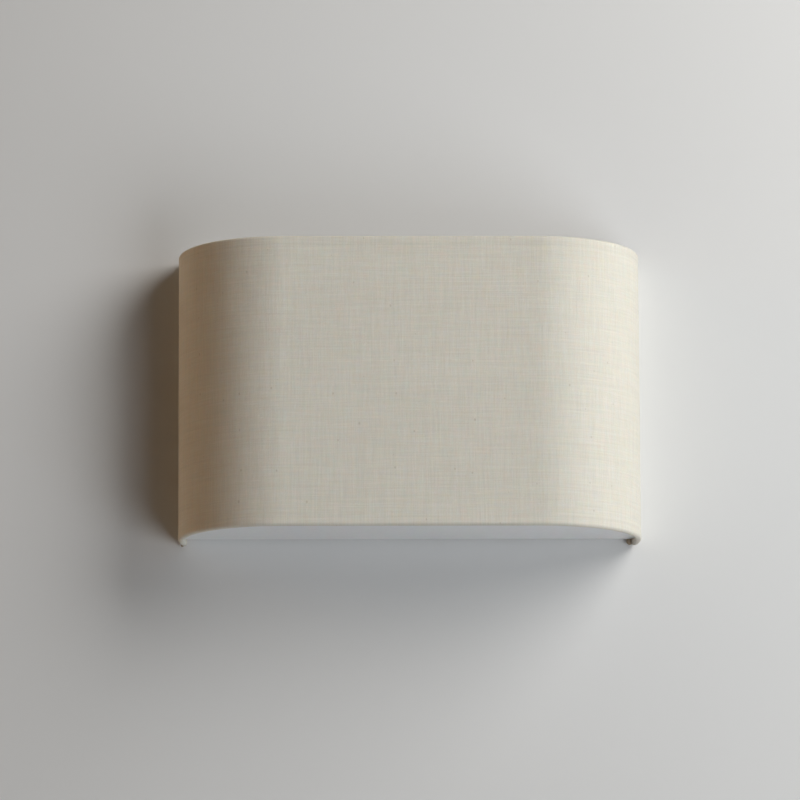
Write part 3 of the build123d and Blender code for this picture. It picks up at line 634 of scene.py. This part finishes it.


# Brightness of the cloth: its bands, times painted shade between its threads and in the crease beside the
# hems
def clothShading(tree, bands, top, weftAt, cloth):
    streak = sums(tree, "ADD", *bands)
    level = spread(tree, streak, 0.7, 1.3, 1 - cloth["bandDepth"], 1 + cloth["bandDepth"])
    # Painted shade in the gaps between threads, painted highlight on their tops
    gaps = spread(tree, top, 0.25, 0.8, *cloth["gapShade"])
    creaseAt = shade["halfHeight"] - linenSetting["ridgeAt"] - linenSetting["creaseUp"]
    # Painted shade along the crease pressed beside each hem
    away = sums(tree, "ABSOLUTE", sums(tree, "SUBTRACT", sums(tree, "ABSOLUTE", weftAt), creaseAt))
    line = spread(tree, away, *cloth["creaseLine"], cloth["creaseShade"], 1.0)
    shading = sums(tree, "MULTIPLY", sums(tree, "MULTIPLY", level, gaps), line)
    return put(tree, "CombineColor", {0: shading, 1: shading, 2: shading}).outputs[0]


# The thread on top gives the tone, warp or weft by turns, and slubs, patches, specks, hues, the raw end's
# glue stain and painted shade, and the shading follow one after another. Warp and weft count threads from the
# middle. A slub spans two.
def linenMaterial(cloth):
    made, tree = newMaterial("linenCloth")
    uv = put(tree, "UVMap", uv_map="threads").outputs[0]
    split = put(tree, "SeparateXYZ", {0: uv}).outputs
    warp, weft = (sums(tree, "DIVIDE", split[axis], cloth["thread"]) for axis in (0, 1))
    warpTop = threadHeight(tree, warp, weft, -0.5)
    weftTop = threadHeight(tree, weft, warp, 0.5)
    onTop = sums(tree, "GREATER_THAN", warpTop, weftTop)
    top = sums(tree, "MAXIMUM", warpTop, weftTop)
    ways = ((weft, warp), (warp, weft))
    inPairs = [(sums(tree, "DIVIDE", across, 2), along) for across, along in ways]
    tone = blendNumber(tree, onTop, *weaveTones(tree, ways, cloth["tones"], cloth["thread"]))
    slub = blendNumber(tree, onTop, *weaveTones(tree, inPairs, cloth["slubs"], cloth["thread"]))
    bands = weaveTones(tree, ways, cloth["bands"], cloth["thread"], stepped=False)
    body = blendColour(tree, spread(tree, tone, 0.3, 0.7, 0, 1), cloth["darkThread"], cloth["paleThread"])
    body = blendColour(tree, blendNumber(tree, onTop, *cloth["toneDepth"]), cloth["colour"], body)
    thick = spread(tree, slub, 0.62, 0.76, 0, cloth["slubShare"])
    body = blendColour(tree, thick, body, cloth["paleThread"])
    patch = spread(tree, noise(tree, uv, cloth["patches"]), 0.35, 0.7, 0, cloth["patchShare"])
    body = blendColour(tree, patch, body, cloth["darkThread"])
    body = blendColour(tree, stalkSpecks(tree, uv, cloth), body, cloth["speck"])
    for seed, first, second in cloth["hues"]:
        hue = blendColour(tree, hueDrift(tree, split, cloth, seed), first, second)
        body = blendColour(tree, 1.0, body, hue, "MULTIPLY")
    # Past the raw end the cloth turns dark brown: a glue stain together with painted shade inside the corner
    past = sums(tree, "SUBTRACT", sums(tree, "ABSOLUTE", split[0]), rawAt)
    glueAndShade = spread(tree, past, 0, cloth["rawFade"], 0, cloth["glueAndShadeShare"])
    body = blendColour(tree, glueAndShade, body, cloth["rawEndGlueAndShade"])
    body = blendColour(tree, 1.0, body, clothShading(tree, bands, top, split[1], cloth), "MULTIPLY")
    height = sums(tree, "ADD", top, spread(tree, slub, 0.3, 0.8, 0, cloth["slubHeight"]))
    bump = put(tree, "Bump", {"Height": height, "Distance": cloth["bump"], "Strength": cloth["bumpShare"]})
    finishMaterial(tree, {"Base Color": body, "Normal": bump.outputs[0], "Roughness": cloth["roughness"],
                          "Specular IOR Level": cloth["shine"], "Sheen Weight": cloth["fuzz"],
                          "Sheen Roughness": cloth["fuzzRoughness"]})
    return made


# The cloth: skin, side hems and tucks as one mesh, thickened, finished in linen and riding the shade.
# The CAD linen is hidden.
def makeLinen(cut, sideHem):
    grids = [skinGrid(cut), sideHemGrid(-1, sideHem), sideHemGrid(1, sideHem)]
    grids += [tuckGrid(side, tuckSetting) for side in (-1, 1)]
    cloth = addMesh("linen_cloth", grids)
    thick = cloth.modifiers.new("thickness", "SOLIDIFY")
    thick.thickness, thick.offset = cut["thickness"] * shade["cloth"], 0
    cloth.data.materials.append(linenMaterial(clothSetting))
    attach(cloth, "shade")
    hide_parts("shade_linen")


makeLinen(linenSetting, sideHemSetting)


# Finishes of the hard pieces. Each has one dictionary: its colours, and what its own function reads.
finishes = {
    "frame_wire": {"colour": (0.84, 0.84, 0.83), "grain": 0.9 * mm, "roughness": (0.34, 0.48)},
    "white_steel": {"colour": (0.85, 0.85, 0.84), "grain": 0.5 * mm, "roughness": (0.38, 0.55)},
    "zinc_steel": {"colour": (0.60, 0.62, 0.64), "tint": (0.66, 0.64, 0.56), "grain": (1, 1, 1),
                   "patch": 3.0 * mm, "roughness": (0.26, 0.42)},
    "spring_steel": {"colour": (0.50, 0.50, 0.51), "tint": (0.40, 0.39, 0.38), "grain": (22, 1, 1),
                     "patch": 2.0 * mm, "roughness": (0.24, 0.36)},
    "rivet_steel": {"colour": (0.66, 0.66, 0.67), "tint": (0.54, 0.54, 0.55), "grain": (1, 1, 1),
                    "patch": 1.2 * mm, "roughness": (0.24, 0.40)},
    "nickel": {"colour": (0.72, 0.71, 0.68), "tint": (0.62, 0.60, 0.56), "grain": (1, 1, 4),
               "patch": 2.5 * mm, "roughness": (0.13, 0.24)},
    "lamp_cap": {"colour": (0.76, 0.76, 0.75), "tint": (0.64, 0.64, 0.63), "grain": (1, 1, 5),
                 "patch": 2.2 * mm, "roughness": (0.16, 0.28)},
    "brass": {"colour": (0.74, 0.57, 0.28), "tint": (0.50, 0.36, 0.17), "grain": (1, 1, 1),
              "patch": 2.0 * mm, "roughness": (0.22, 0.42)},
    "lining": {"colour": (0.86, 0.86, 0.85), "mottle": (0.82, 0.82, 0.81), "grain": 1.6 * mm,
               "bump": 0.02 * mm, "roughness": (0.34, 0.44), "glow": 0.0},
    "diffuser": {"colour": (0.88, 0.895, 0.91), "mottle": (0.855, 0.87, 0.89), "grain": 0.6 * mm,
                 "bump": 0.012 * mm, "roughness": (0.30, 0.42), "glow": 0.15},
    "holder_white": {"colour": (0.82, 0.82, 0.79), "mottle": (0.78, 0.78, 0.74), "grain": 0.8 * mm,
                     "bump": 0.02 * mm, "roughness": (0.30, 0.46), "glow": 0.0},
    "block_white": {"colour": (0.79, 0.78, 0.73), "mottle": (0.74, 0.73, 0.67), "grain": 0.7 * mm,
                    "bump": 0.02 * mm, "roughness": (0.40, 0.55), "glow": 0.1},
    "grommet_black": {"colour": (0.035, 0.035, 0.036), "mottle": (0.07, 0.07, 0.068), "grain": 0.9 * mm,
                      "bump": 0.03 * mm, "roughness": (0.62, 0.85), "glow": 0.0},
    "core_brown": {"colour": (0.20, 0.095, 0.045), "mottle": (0.17, 0.08, 0.04), "grain": 1.5 * mm,
                   "bump": 0.01 * mm, "roughness": (0.30, 0.42), "glow": 0.0},
    "core_blue": {"colour": (0.065, 0.175, 0.46), "mottle": (0.055, 0.15, 0.40), "grain": 1.5 * mm,
                  "bump": 0.01 * mm, "roughness": (0.30, 0.42), "glow": 0.0},
    "core_earth": {"colour": (0.10, 0.36, 0.09), "mottle": (0.085, 0.32, 0.08), "grain": 1.5 * mm,
                   "bump": 0.01 * mm, "roughness": (0.30, 0.42), "glow": 0.0,
                   "stripe": (0.80, 0.68, 0.07)},
    "lamp_opal": {"colour": (0.89, 0.89, 0.87), "mottle": (0.86, 0.86, 0.84), "grain": 0.4 * mm,
                  "bump": 0.006 * mm, "roughness": (0.22, 0.32), "glow": 0.3},
    "lamp_collar": {"colour": (0.86, 0.86, 0.85), "mottle": (0.83, 0.83, 0.82), "grain": 0.9 * mm,
                    "bump": 0.01 * mm, "roughness": (0.26, 0.38), "glow": 0.0},
    "lamp_insulator": {"colour": (0.020, 0.020, 0.022), "mottle": (0.05, 0.05, 0.05), "grain": 1.1 * mm,
                       "bump": 0.02 * mm, "roughness": (0.10, 0.22), "glow": 0.0},
}


coatSetting = {
    "pores": 0.35,               # to one grain
    "poreDepth": 0.5,
    "patches": 45.0,             # of shine, to a metre
    "patchTone": 0.965,          # share of the colour in a patch, and where the peel noise is high as painted shade
    "peelTone": 0.9,
    "peelShare": 0.25,
    "bump": 0.05 * mm,
    "bumpShare": 0.5,
}


# Powder coat: a fine orange peel with painted shade on it, scattered pinholes, and slow patches of shine
def powderCoat(name, look):
    coat = coatSetting
    made, tree = newMaterial(name)
    point = objectPoint(tree)
    peel = noise(tree, point, 1 / look["grain"], detail=3.0, roughness=0.55)
    sockets = {"Vector": point, "Scale": coat["pores"] / look["grain"]}
    pores = put(tree, "TexVoronoi", sockets).outputs["Distance"]
    patch = noise(tree, point, coat["patches"])
    height = sums(tree, "ADD", peel, spread(tree, pores, 0.0, 0.16, -coat["poreDepth"], 0))
    inPatch = dimmed(look["colour"], coat["patchTone"])
    body = blendColour(tree, spread(tree, patch, 0.3, 0.7, 0, 1), look["colour"], inPatch)
    # Painted shade: the colour darkens with the peel's noise, which also raises its bump
    paintedShadeDip = spread(tree, peel, 0.3, 0.8, 0, coat["peelShare"])
    body = blendColour(tree, paintedShadeDip, body, dimmed(look["colour"], coat["peelTone"]))
    shine = spread(tree, patch, 0.3, 0.7, *look["roughness"])
    bump = put(tree, "Bump", {"Height": height, "Distance": coat["bump"], "Strength": coat["bumpShare"]})
    finishMaterial(tree, {"Base Color": body, "Roughness": shine, "Normal": bump.outputs[0]})
    return made


platingSetting = {
    "tintShare": 0.85,
    "scratches": 900.0,          # to a metre, across the grain
    "scratchTone": 0.6,
    "scratchShare": 0.18,
    "bump": 0.01 * mm,
    "bumpShare": 0.4,
}


# Plated or bare metal: patches of a second tone, and fine scratches drawn out by the grain
def plating(name, look):
    plate = platingSetting
    made, tree = newMaterial(name)
    patch = noise(tree, objectPoint(tree), 1 / look["patch"], detail=3.0)
    drawn = objectPoint(tree, look["grain"])
    lines = noise(tree, drawn, plate["scratches"], detail=4.0, roughness=0.7)
    tinted = spread(tree, patch, 0.4, 0.75, 0, plate["tintShare"])
    body = blendColour(tree, tinted, look["colour"], look["tint"])
    scratched = spread(tree, lines, 0.3, 0.7, 0, plate["scratchShare"])
    body = blendColour(tree, scratched, body, dimmed(look["colour"], plate["scratchTone"]))
    shine = spread(tree, sums(tree, "ADD", patch, lines), 0.7, 1.3, *look["roughness"])
    bump = put(tree, "Bump", {"Height": lines, "Distance": plate["bump"], "Strength": plate["bumpShare"]})
    finishMaterial(tree, {"Base Color": body, "Roughness": shine, "Metallic": 1.0,
                          "Normal": bump.outputs[0]})
    return made


mouldingSetting = {
    "mottles": 0.12,             # to one grain
    "grainTone": 0.8,
    "grainShare": 0.12,
    "wanders": 160.0,            # of a stripe's edge, to a metre, and how far it wanders and fades
    "wander": 0.25 * mm,
    "stripeEdge": 0.04 * mm,
    "bumpShare": 0.5,
    "scatter": 2 * mm,
}


# Moulded plastic, opal sheet, rubber or insulation: a slow mottle and a fine satin grain with painted shade.
# A stripe, where there is one, is the half of the piece at positive x.
def moulding(name, look):
    mould = mouldingSetting
    made, tree = newMaterial(name)
    point = objectPoint(tree)
    slow = noise(tree, point, mould["mottles"] / look["grain"])
    grain = noise(tree, point, 1 / look["grain"], detail=3.0, roughness=0.6)
    body = blendColour(tree, spread(tree, slow, 0.35, 0.7, 0, 1), look["colour"], look["mottle"])
    if "stripe" in look:
        x = put(tree, "SeparateXYZ", {0: point}).outputs[0]
        wander = noise(tree, point, mould["wanders"])
        edge = sums(tree, "ADD", x, spread(tree, wander, 0, 1, -mould["wander"], mould["wander"]))
        striped = spread(tree, edge, -mould["stripeEdge"], mould["stripeEdge"], 0, 1)
        body = blendColour(tree, striped, body, look["stripe"])
    # Painted shade: the colour darkens with the grain's noise, which also raises its bump
    paintedShadeDip = spread(tree, grain, 0.35, 0.75, 0, mould["grainShare"])
    body = blendColour(tree, paintedShadeDip, body, dimmed(look["colour"], mould["grainTone"]))
    shine = spread(tree, grain, 0.35, 0.65, *look["roughness"])
    bump = put(tree, "Bump", {"Height": grain, "Distance": look["bump"], "Strength": mould["bumpShare"]})
    finishMaterial(tree, {"Base Color": body, "Roughness": shine, "Normal": bump.outputs[0],
                          "Subsurface Weight": look["glow"], "Subsurface Scale": mould["scatter"]})
    return made


finishOf = {
    powderCoat: ("frame_wire", "white_steel"),
    plating: ("zinc_steel", "spring_steel", "rivet_steel", "nickel", "lamp_cap", "brass"),
    moulding: ("lining", "diffuser", "holder_white", "block_white", "grommet_black", "core_brown",
               "core_blue", "core_earth", "lamp_opal", "lamp_collar", "lamp_insulator"),
}
materials = {slot: make(slot, finishes[slot]) for make, slots in finishOf.items() for slot in slots}


# Every CAD node takes the finish of its own slot. The linen's has none, because the cloth replaces it.
def dressNodes():
    for part in frame["record"]["subparts"]:
        slot = part["material_slot"]
        if slot in materials:
            data = frame["nodes"][part["node"]].data
            for index in range(len(data.materials)):
                data.materials[index] = materials[slot]


dressNodes()
print("finishes made")


# Threads and fasteners. A cut thread is sharp and a rolled one is round.
metricFine = {"pitch": 1.0 * mm, "depth": 0.5 * mm, "sharp": True}
metricFour = {"pitch": 0.7 * mm, "depth": 0.36 * mm, "sharp": True}
screwTwo = {"pitch": 0.55 * mm, "depth": 0.26 * mm, "sharp": True}
holderThread = {"pitch": 2.82 * mm, "depth": 0.30 * mm, "sharp": False}
capThread = {"pitch": 2.82 * mm, "depth": 0.78 * mm, "sharp": False}


# How far a thread's surface lies below its crest, as a negative number, at an angle and a height: a wave
# that climbs one pitch to the turn and fades out at both ends
def threadRadius(angle, height, thread, low, high):
    phase = height / thread["pitch"] - angle / (2 * math.pi)
    wave = 0.5 + 0.5 * np.cos(2 * math.pi * phase)
    if thread["sharp"]:
        wave = 1 - 2 * np.abs(phase - np.round(phase))
    ending = 1 - smoothStep(height, high - thread["pitch"], high)
    fade = smoothStep(height, low, low + thread["pitch"]) * ending
    return thread["depth"] * (wave * fade - 1)


# A section of (radius, height, share of thread) points turned about an axis through a point.
# Along "z" the height goes up, along "y" it goes towards the wall.
def turnedShell(section, centre, axis, thread=None, low=0.0, high=0.0, closed=True, around=72):
    section = np.array(section, float)
    angle = np.linspace(0, 2 * math.pi, around, endpoint=False)[:, None]
    radius, height = section[:, 0] + 0 * angle, section[:, 1] + 0 * angle
    if thread:
        radius = radius + section[:, 2] * threadRadius(angle, height, thread, low, high)
    flatA, flatB = radius * np.cos(angle), radius * np.sin(angle)
    local = (flatA, flatB, height) if axis == "z" else (flatA, height, flatB)
    points = np.stack(local, -1) + np.array(centre)
    return points, gridFaces(around, len(section), True, closed)


# Points of a section along a threaded stretch, close enough for the thread
def stretch(radius, start, end, step=0.22 * mm):
    count = max(2, int(abs(end - start) / step))
    return [(radius, height, 1) for height in np.linspace(start, end, count)]


# Piece takes its finish, rides its body and stands for its node
def place(piece, body, slot, node):
    piece.data.materials.append(materials[slot])
    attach(piece, body)
    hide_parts(node)


# Middle of a box in plan, and half its width
def axisOf(low, high):
    return ((low.x + high.x) / 2, (low.y + high.y) / 2, 0), (high.x - low.x) / 2


studSetting = {"radius": 2.0 * mm, "headRadius": 3.0 * mm, "headHeight": 1.0 * mm, "plain": 2.0 * mm,
               "bevel": 0.5 * mm, "step": 0.12 * mm, "around": 48}


# Studs: a flat head in the strap, a plain neck and a threaded shank through the backplate
def makeStuds(stud):
    shells = []
    radius, head = stud["radius"], stud["headRadius"]
    for low, high in solidBoxes("strap_studs"):
        centre = ((low[0] + high[0]) / 2, 0, (low[2] + high[2]) / 2)
        tip, back = low[1], high[1]
        under = back - stud["headHeight"]
        threadEnd = under - stud["plain"]
        section = [(0, tip, 0), (radius - stud["bevel"], tip, 0)]
        section += stretch(radius, tip + stud["bevel"], threadEnd, stud["step"])
        section += [(radius, under, 0), (head, under, 0), (head, back, 0), (0, back, 0)]
        shells.append(turnedShell(section, centre, "y", metricFour, tip, threadEnd, False, stud["around"]))
    place(addSolid("threaded_studs", shells), "fixture", "zinc_steel", "strap_studs")


nippleSetting = {"bore": 3.6 * mm, "bevel": 0.5 * mm, "step": 0.14 * mm}


# Nipple: a hollow threaded tube from below its shelf up into its lampholder
def makeNipple(side, nipple):
    low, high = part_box(side + "_nipple")
    centre, outer = axisOf(low, high)
    bore, bevel = nipple["bore"], nipple["bevel"]
    section = [(bore, low.z, 0), (outer - bevel, low.z, 0)]
    section += stretch(outer, low.z + bevel, high.z - bevel, nipple["step"])
    section += [(outer - bevel, high.z, 0), (bore, high.z, 0)]
    shell = turnedShell(section, centre, "z", metricFine, low.z, high.z)
    place(addSolid(side + "_threaded_nipple", [shell]), "fixture", "zinc_steel", side + "_nipple")


shellSetting = {
    "wall": 0.1 * mm,
    "lip": 1.2 * mm,                  # turned in at the foot
    "bends": (0.4 * mm, 0.5 * mm),    # above the foot, outside and inside
    "plain": 1.0 * mm,                # below the thread
}


# Lampholder shell: thin rolled metal with a coarse round thread, turned in at the foot
def makeShell(side, metal):
    low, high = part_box(side + "_lampholder_shell")
    centre, outer = axisOf(low, high)
    inner, floor = outer - metal["wall"], low.z + metal["wall"]
    hole, root = inner - metal["lip"], holderThread["depth"]
    outside, inside = metal["bends"]
    section = [(hole, low.z, 0), (outer - root, low.z, 0)]
    section += stretch(outer, low.z + outside, high.z) + stretch(inner, high.z, low.z + inside)
    section += [(inner - root, floor, 0), (hole, floor, 0)]
    shell = turnedShell(section, centre, "z", holderThread, low.z + metal["plain"], high.z)
    place(addSolid(side + "_threaded_shell", [shell]), "fixture", "nickel", side + "_lampholder_shell")


capSetting = {
    "wall": 0.25 * mm,
    "draw": 1.6 * mm,            # how far the foot is drawn in, over the same height
    "shoulder": (0.35, 0.8),     # of the draw, in and up, where the foot turns
    "plain": 3.2 * mm,           # smooth band under the collar
    "groove": 0.4,               # of the thread's depth, between the thread and that band
    "grooveAt": (0.8, 0.5),      # of the plain band, down from the collar: the groove and its upper edge
    "threadFrom": 1.2 * mm,
    "around": 96,
}


# Lamp cap: a rolled thread on a thin sleeve that is drawn in at its foot, with a groove under the collar
def makeCap(side, cap):
    low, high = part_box(side + "_lamp_cap")
    centre, crest = axisOf(low, high)
    inner, throat = crest - cap["wall"], crest - cap["draw"]
    shoulderIn, shoulderUp = (share * cap["draw"] for share in cap["shoulder"])
    grooveZ, bandZ = (high.z - share * cap["plain"] for share in cap["grooveAt"])
    start, threadHigh = low.z + cap["draw"], high.z - cap["plain"]
    section = [(throat, low.z, 0), (crest - shoulderIn, low.z + shoulderUp, 1)]
    section += stretch(crest, start, threadHigh)
    section += [(crest - capThread["depth"] * cap["groove"], grooveZ, 0), (crest, bandZ, 0)]
    section += [(crest, high.z, 0), (inner, high.z, 0), (inner, bandZ, 0)]
    section += stretch(inner, threadHigh, start)
    section += [(throat - cap["wall"], low.z + cap["wall"], 0)]
    threadLow = low.z + cap["threadFrom"]
    shell = turnedShell(section, centre, "z", capThread, threadLow, threadHigh, True, cap["around"])
    place(addSolid(side + "_threaded_cap", [shell]), side + "_lamp", "lamp_cap", side + "_lamp_cap")


collarSetting = {
    "foot": 7.8 * mm,            # radii
    "waist": 10.2 * mm,
    "spigot": 5.6 * mm,
    "spigotHeight": 9.0 * mm,
    "bead": 0.25 * mm,           # depth of the groove that sets the bead off
    "beadAt": 0.94,              # share of the flank's height, and its spread
    "beadSpread": 0.02,
    "points": 25,
    "around": 96,
}


# Collar: its flank's radius goes evenly from foot to top, plus a bow of 4 t (1 - t) that passes through the
# waist halfway up, less a groove under the top. A spigot goes down into the cap.
def makeCollar(side, collar):
    low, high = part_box(side + "_lamp_collar")
    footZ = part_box(side + "_lamp_cap")[1].z
    centre, top = axisOf(low, high)
    foot, spigot = collar["foot"], collar["spigot"]
    spigotZ = footZ - collar["spigotHeight"]
    t = np.linspace(0, 1, collar["points"])
    bow = 4 * (collar["waist"] - (foot + top) / 2) * t * (1 - t)
    groove = collar["bead"] * np.exp(-(((t - collar["beadAt"]) / collar["beadSpread"]) ** 2))
    flank = zip(foot + (top - foot) * t + bow - groove, footZ + (high.z - footZ) * t)
    section = [(0, spigotZ), (spigot, spigotZ), (spigot, footZ), *flank, (0, high.z)]
    shell = turnedShell(section, centre, "z", closed=False, around=collar["around"])
    place(addSolid(side + "_flared_collar", [shell]), side + "_lamp", "lamp_collar", side + "_lamp_collar")


# Clamp, block and earth screws. A slot and a head each have a width or radius and a depth.
screwSetting = {
    "clamp_screws": {"slot": (0.6 * mm, 0.6 * mm), "head": (1.5 * mm, 0.9 * mm), "shank": 1.5 * mm,
                     "thread": metricFour, "metal": "zinc_steel"},
    "block_screws": {"slot": (0.5 * mm, 0.55 * mm), "head": (1.7 * mm, 1.2 * mm), "shank": 1.1 * mm,
                     "thread": screwTwo, "metal": "zinc_steel"},
    "earth_screw": {"slot": (1.1 * mm, 1.0 * mm), "head": (3.8 * mm, 2.4 * mm), "shank": 2.0 * mm,
                    "thread": metricFour, "metal": "brass"},
}
screwForm = {"rim": 0.15 * mm, "tipIn": 0.4 * mm, "tipUp": 0.3 * mm, "step": 0.11 * mm, "around": 40,
             "slices": 41, "across": 25, "slotWall": 0.01 * mm}


# A round head with a slot across it, as a loaf cut into slices: each slice runs up one side, over the top
# and down the other. The top sinks by the slot's depth inside the slot and rounds off at the rim.
def slottedHead(low, high, centre, radius, slot, form):
    slotWidth, slotDepth = slot
    quarter = math.pi / 2
    even = radius * np.sin(np.linspace(-quarter, quarter, form["slices"]))
    walls = [side * slotWidth / 2 + gap for side in (-1, 1) for gap in (-form["slotWall"], form["slotWall"])]
    sideways = np.sort(np.concatenate([even, walls]))[:, None]
    half = np.sqrt(np.maximum(radius**2 - sideways**2, 0))
    share = np.sin(np.linspace(-quarter, quarter, form["across"]))
    along = half * np.concatenate([[-1], share, [1]])
    fromRim = radius - np.hypot(sideways, along)
    rounding = form["rim"] * (1 - smoothStep(fromRim, 0, form["rim"]))
    top = high - rounding - slotDepth * (np.abs(sideways) < slotWidth / 2)
    onTop = np.pad(np.ones(form["across"]), 1)
    height = np.where(onTop > 0, top, low)
    points = np.stack([centre[0] + sideways + 0 * along, height, centre[1] + along], -1)
    return points, gridFaces(*along.shape, False, True)


# Screws: slotted heads that face the wall, on threaded shanks
def makeScrews(node, screw, form):
    shells = []
    shank, thread = screw["shank"], screw["thread"]
    headRadius, headHeight = screw["head"]
    for low, high in solidBoxes(node):
        x, z = (low[0] + high[0]) / 2, (low[2] + high[2]) / 2
        tip, back = low[1], high[1]
        under = back - headHeight
        shells.append(slottedHead(under, back, (x, z), headRadius, screw["slot"], form))
        section = [(0, tip, 0), (shank - form["tipIn"], tip, 0)]
        section += stretch(shank, tip + form["tipUp"], under, form["step"]) + [(0, under, 0)]
        threadEnd = under + thread["pitch"]
        shells.append(turnedShell(section, (x, 0, z), "y", thread, tip, threadEnd, False, form["around"]))
    place(addSolid(node + "_slotted", shells), "fixture", screw["metal"], node)


washerSetting = {"bore": 2.1 * mm, "root": 3.1 * mm, "plain": 2.8 * mm, "teeth": 12, "thickness": 0.4 * mm,
                 "flanks": (-0.35, 0.05), "pointsToTooth": 24}


# Earth washer: a ring whose rim goes in and out with the cosine of the teeth times the angle, and leans out
# of the flat with its sine
def makeWasher(washer):
    low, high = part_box("earth_washer")
    middle, outer = (low + high) / 2, (high.x - low.x) / 2
    half = washer["thickness"] / 2
    twist = (high.y - low.y) / 2 - half
    angle = np.linspace(0, 2 * math.pi, washer["pointsToTooth"] * washer["teeth"], endpoint=False)[:, None]
    tooth = smoothStep(np.cos(washer["teeth"] * angle), *washer["flanks"])
    rim = washer["root"] + (outer - washer["root"]) * tooth
    lean = twist * np.sin(washer["teeth"] * angle) * tooth
    bore, plain = washer["bore"] + 0 * angle, washer["plain"] + 0 * angle
    front, back = middle.y - half + 0 * angle, middle.y + half + 0 * angle
    radius = np.hstack([bore, plain, rim, rim, plain, bore])
    height = np.hstack([front, front, front + lean, back + lean, back, back])
    points = np.stack([middle.x + radius * np.cos(angle), height, middle.z + radius * np.sin(angle)], -1)
    shell = (points, gridFaces(len(angle), radius.shape[1], True, True))
    place(addSolid("toothed_washer", [shell]), "fixture", "zinc_steel", "earth_washer")


makeStuds(studSetting)
for hand in ("left", "right"):
    makeNipple(hand, nippleSetting)
for hand in ("left", "right"):
    makeShell(hand, shellSetting)
for hand in ("left", "right"):
    makeCap(hand, capSetting)
    makeCollar(hand, collarSetting)
for screwNode, screwSizes in screwSetting.items():
    makeScrews(screwNode, screwSizes, screwForm)
makeWasher(washerSetting)
print("threads and fasteners made")
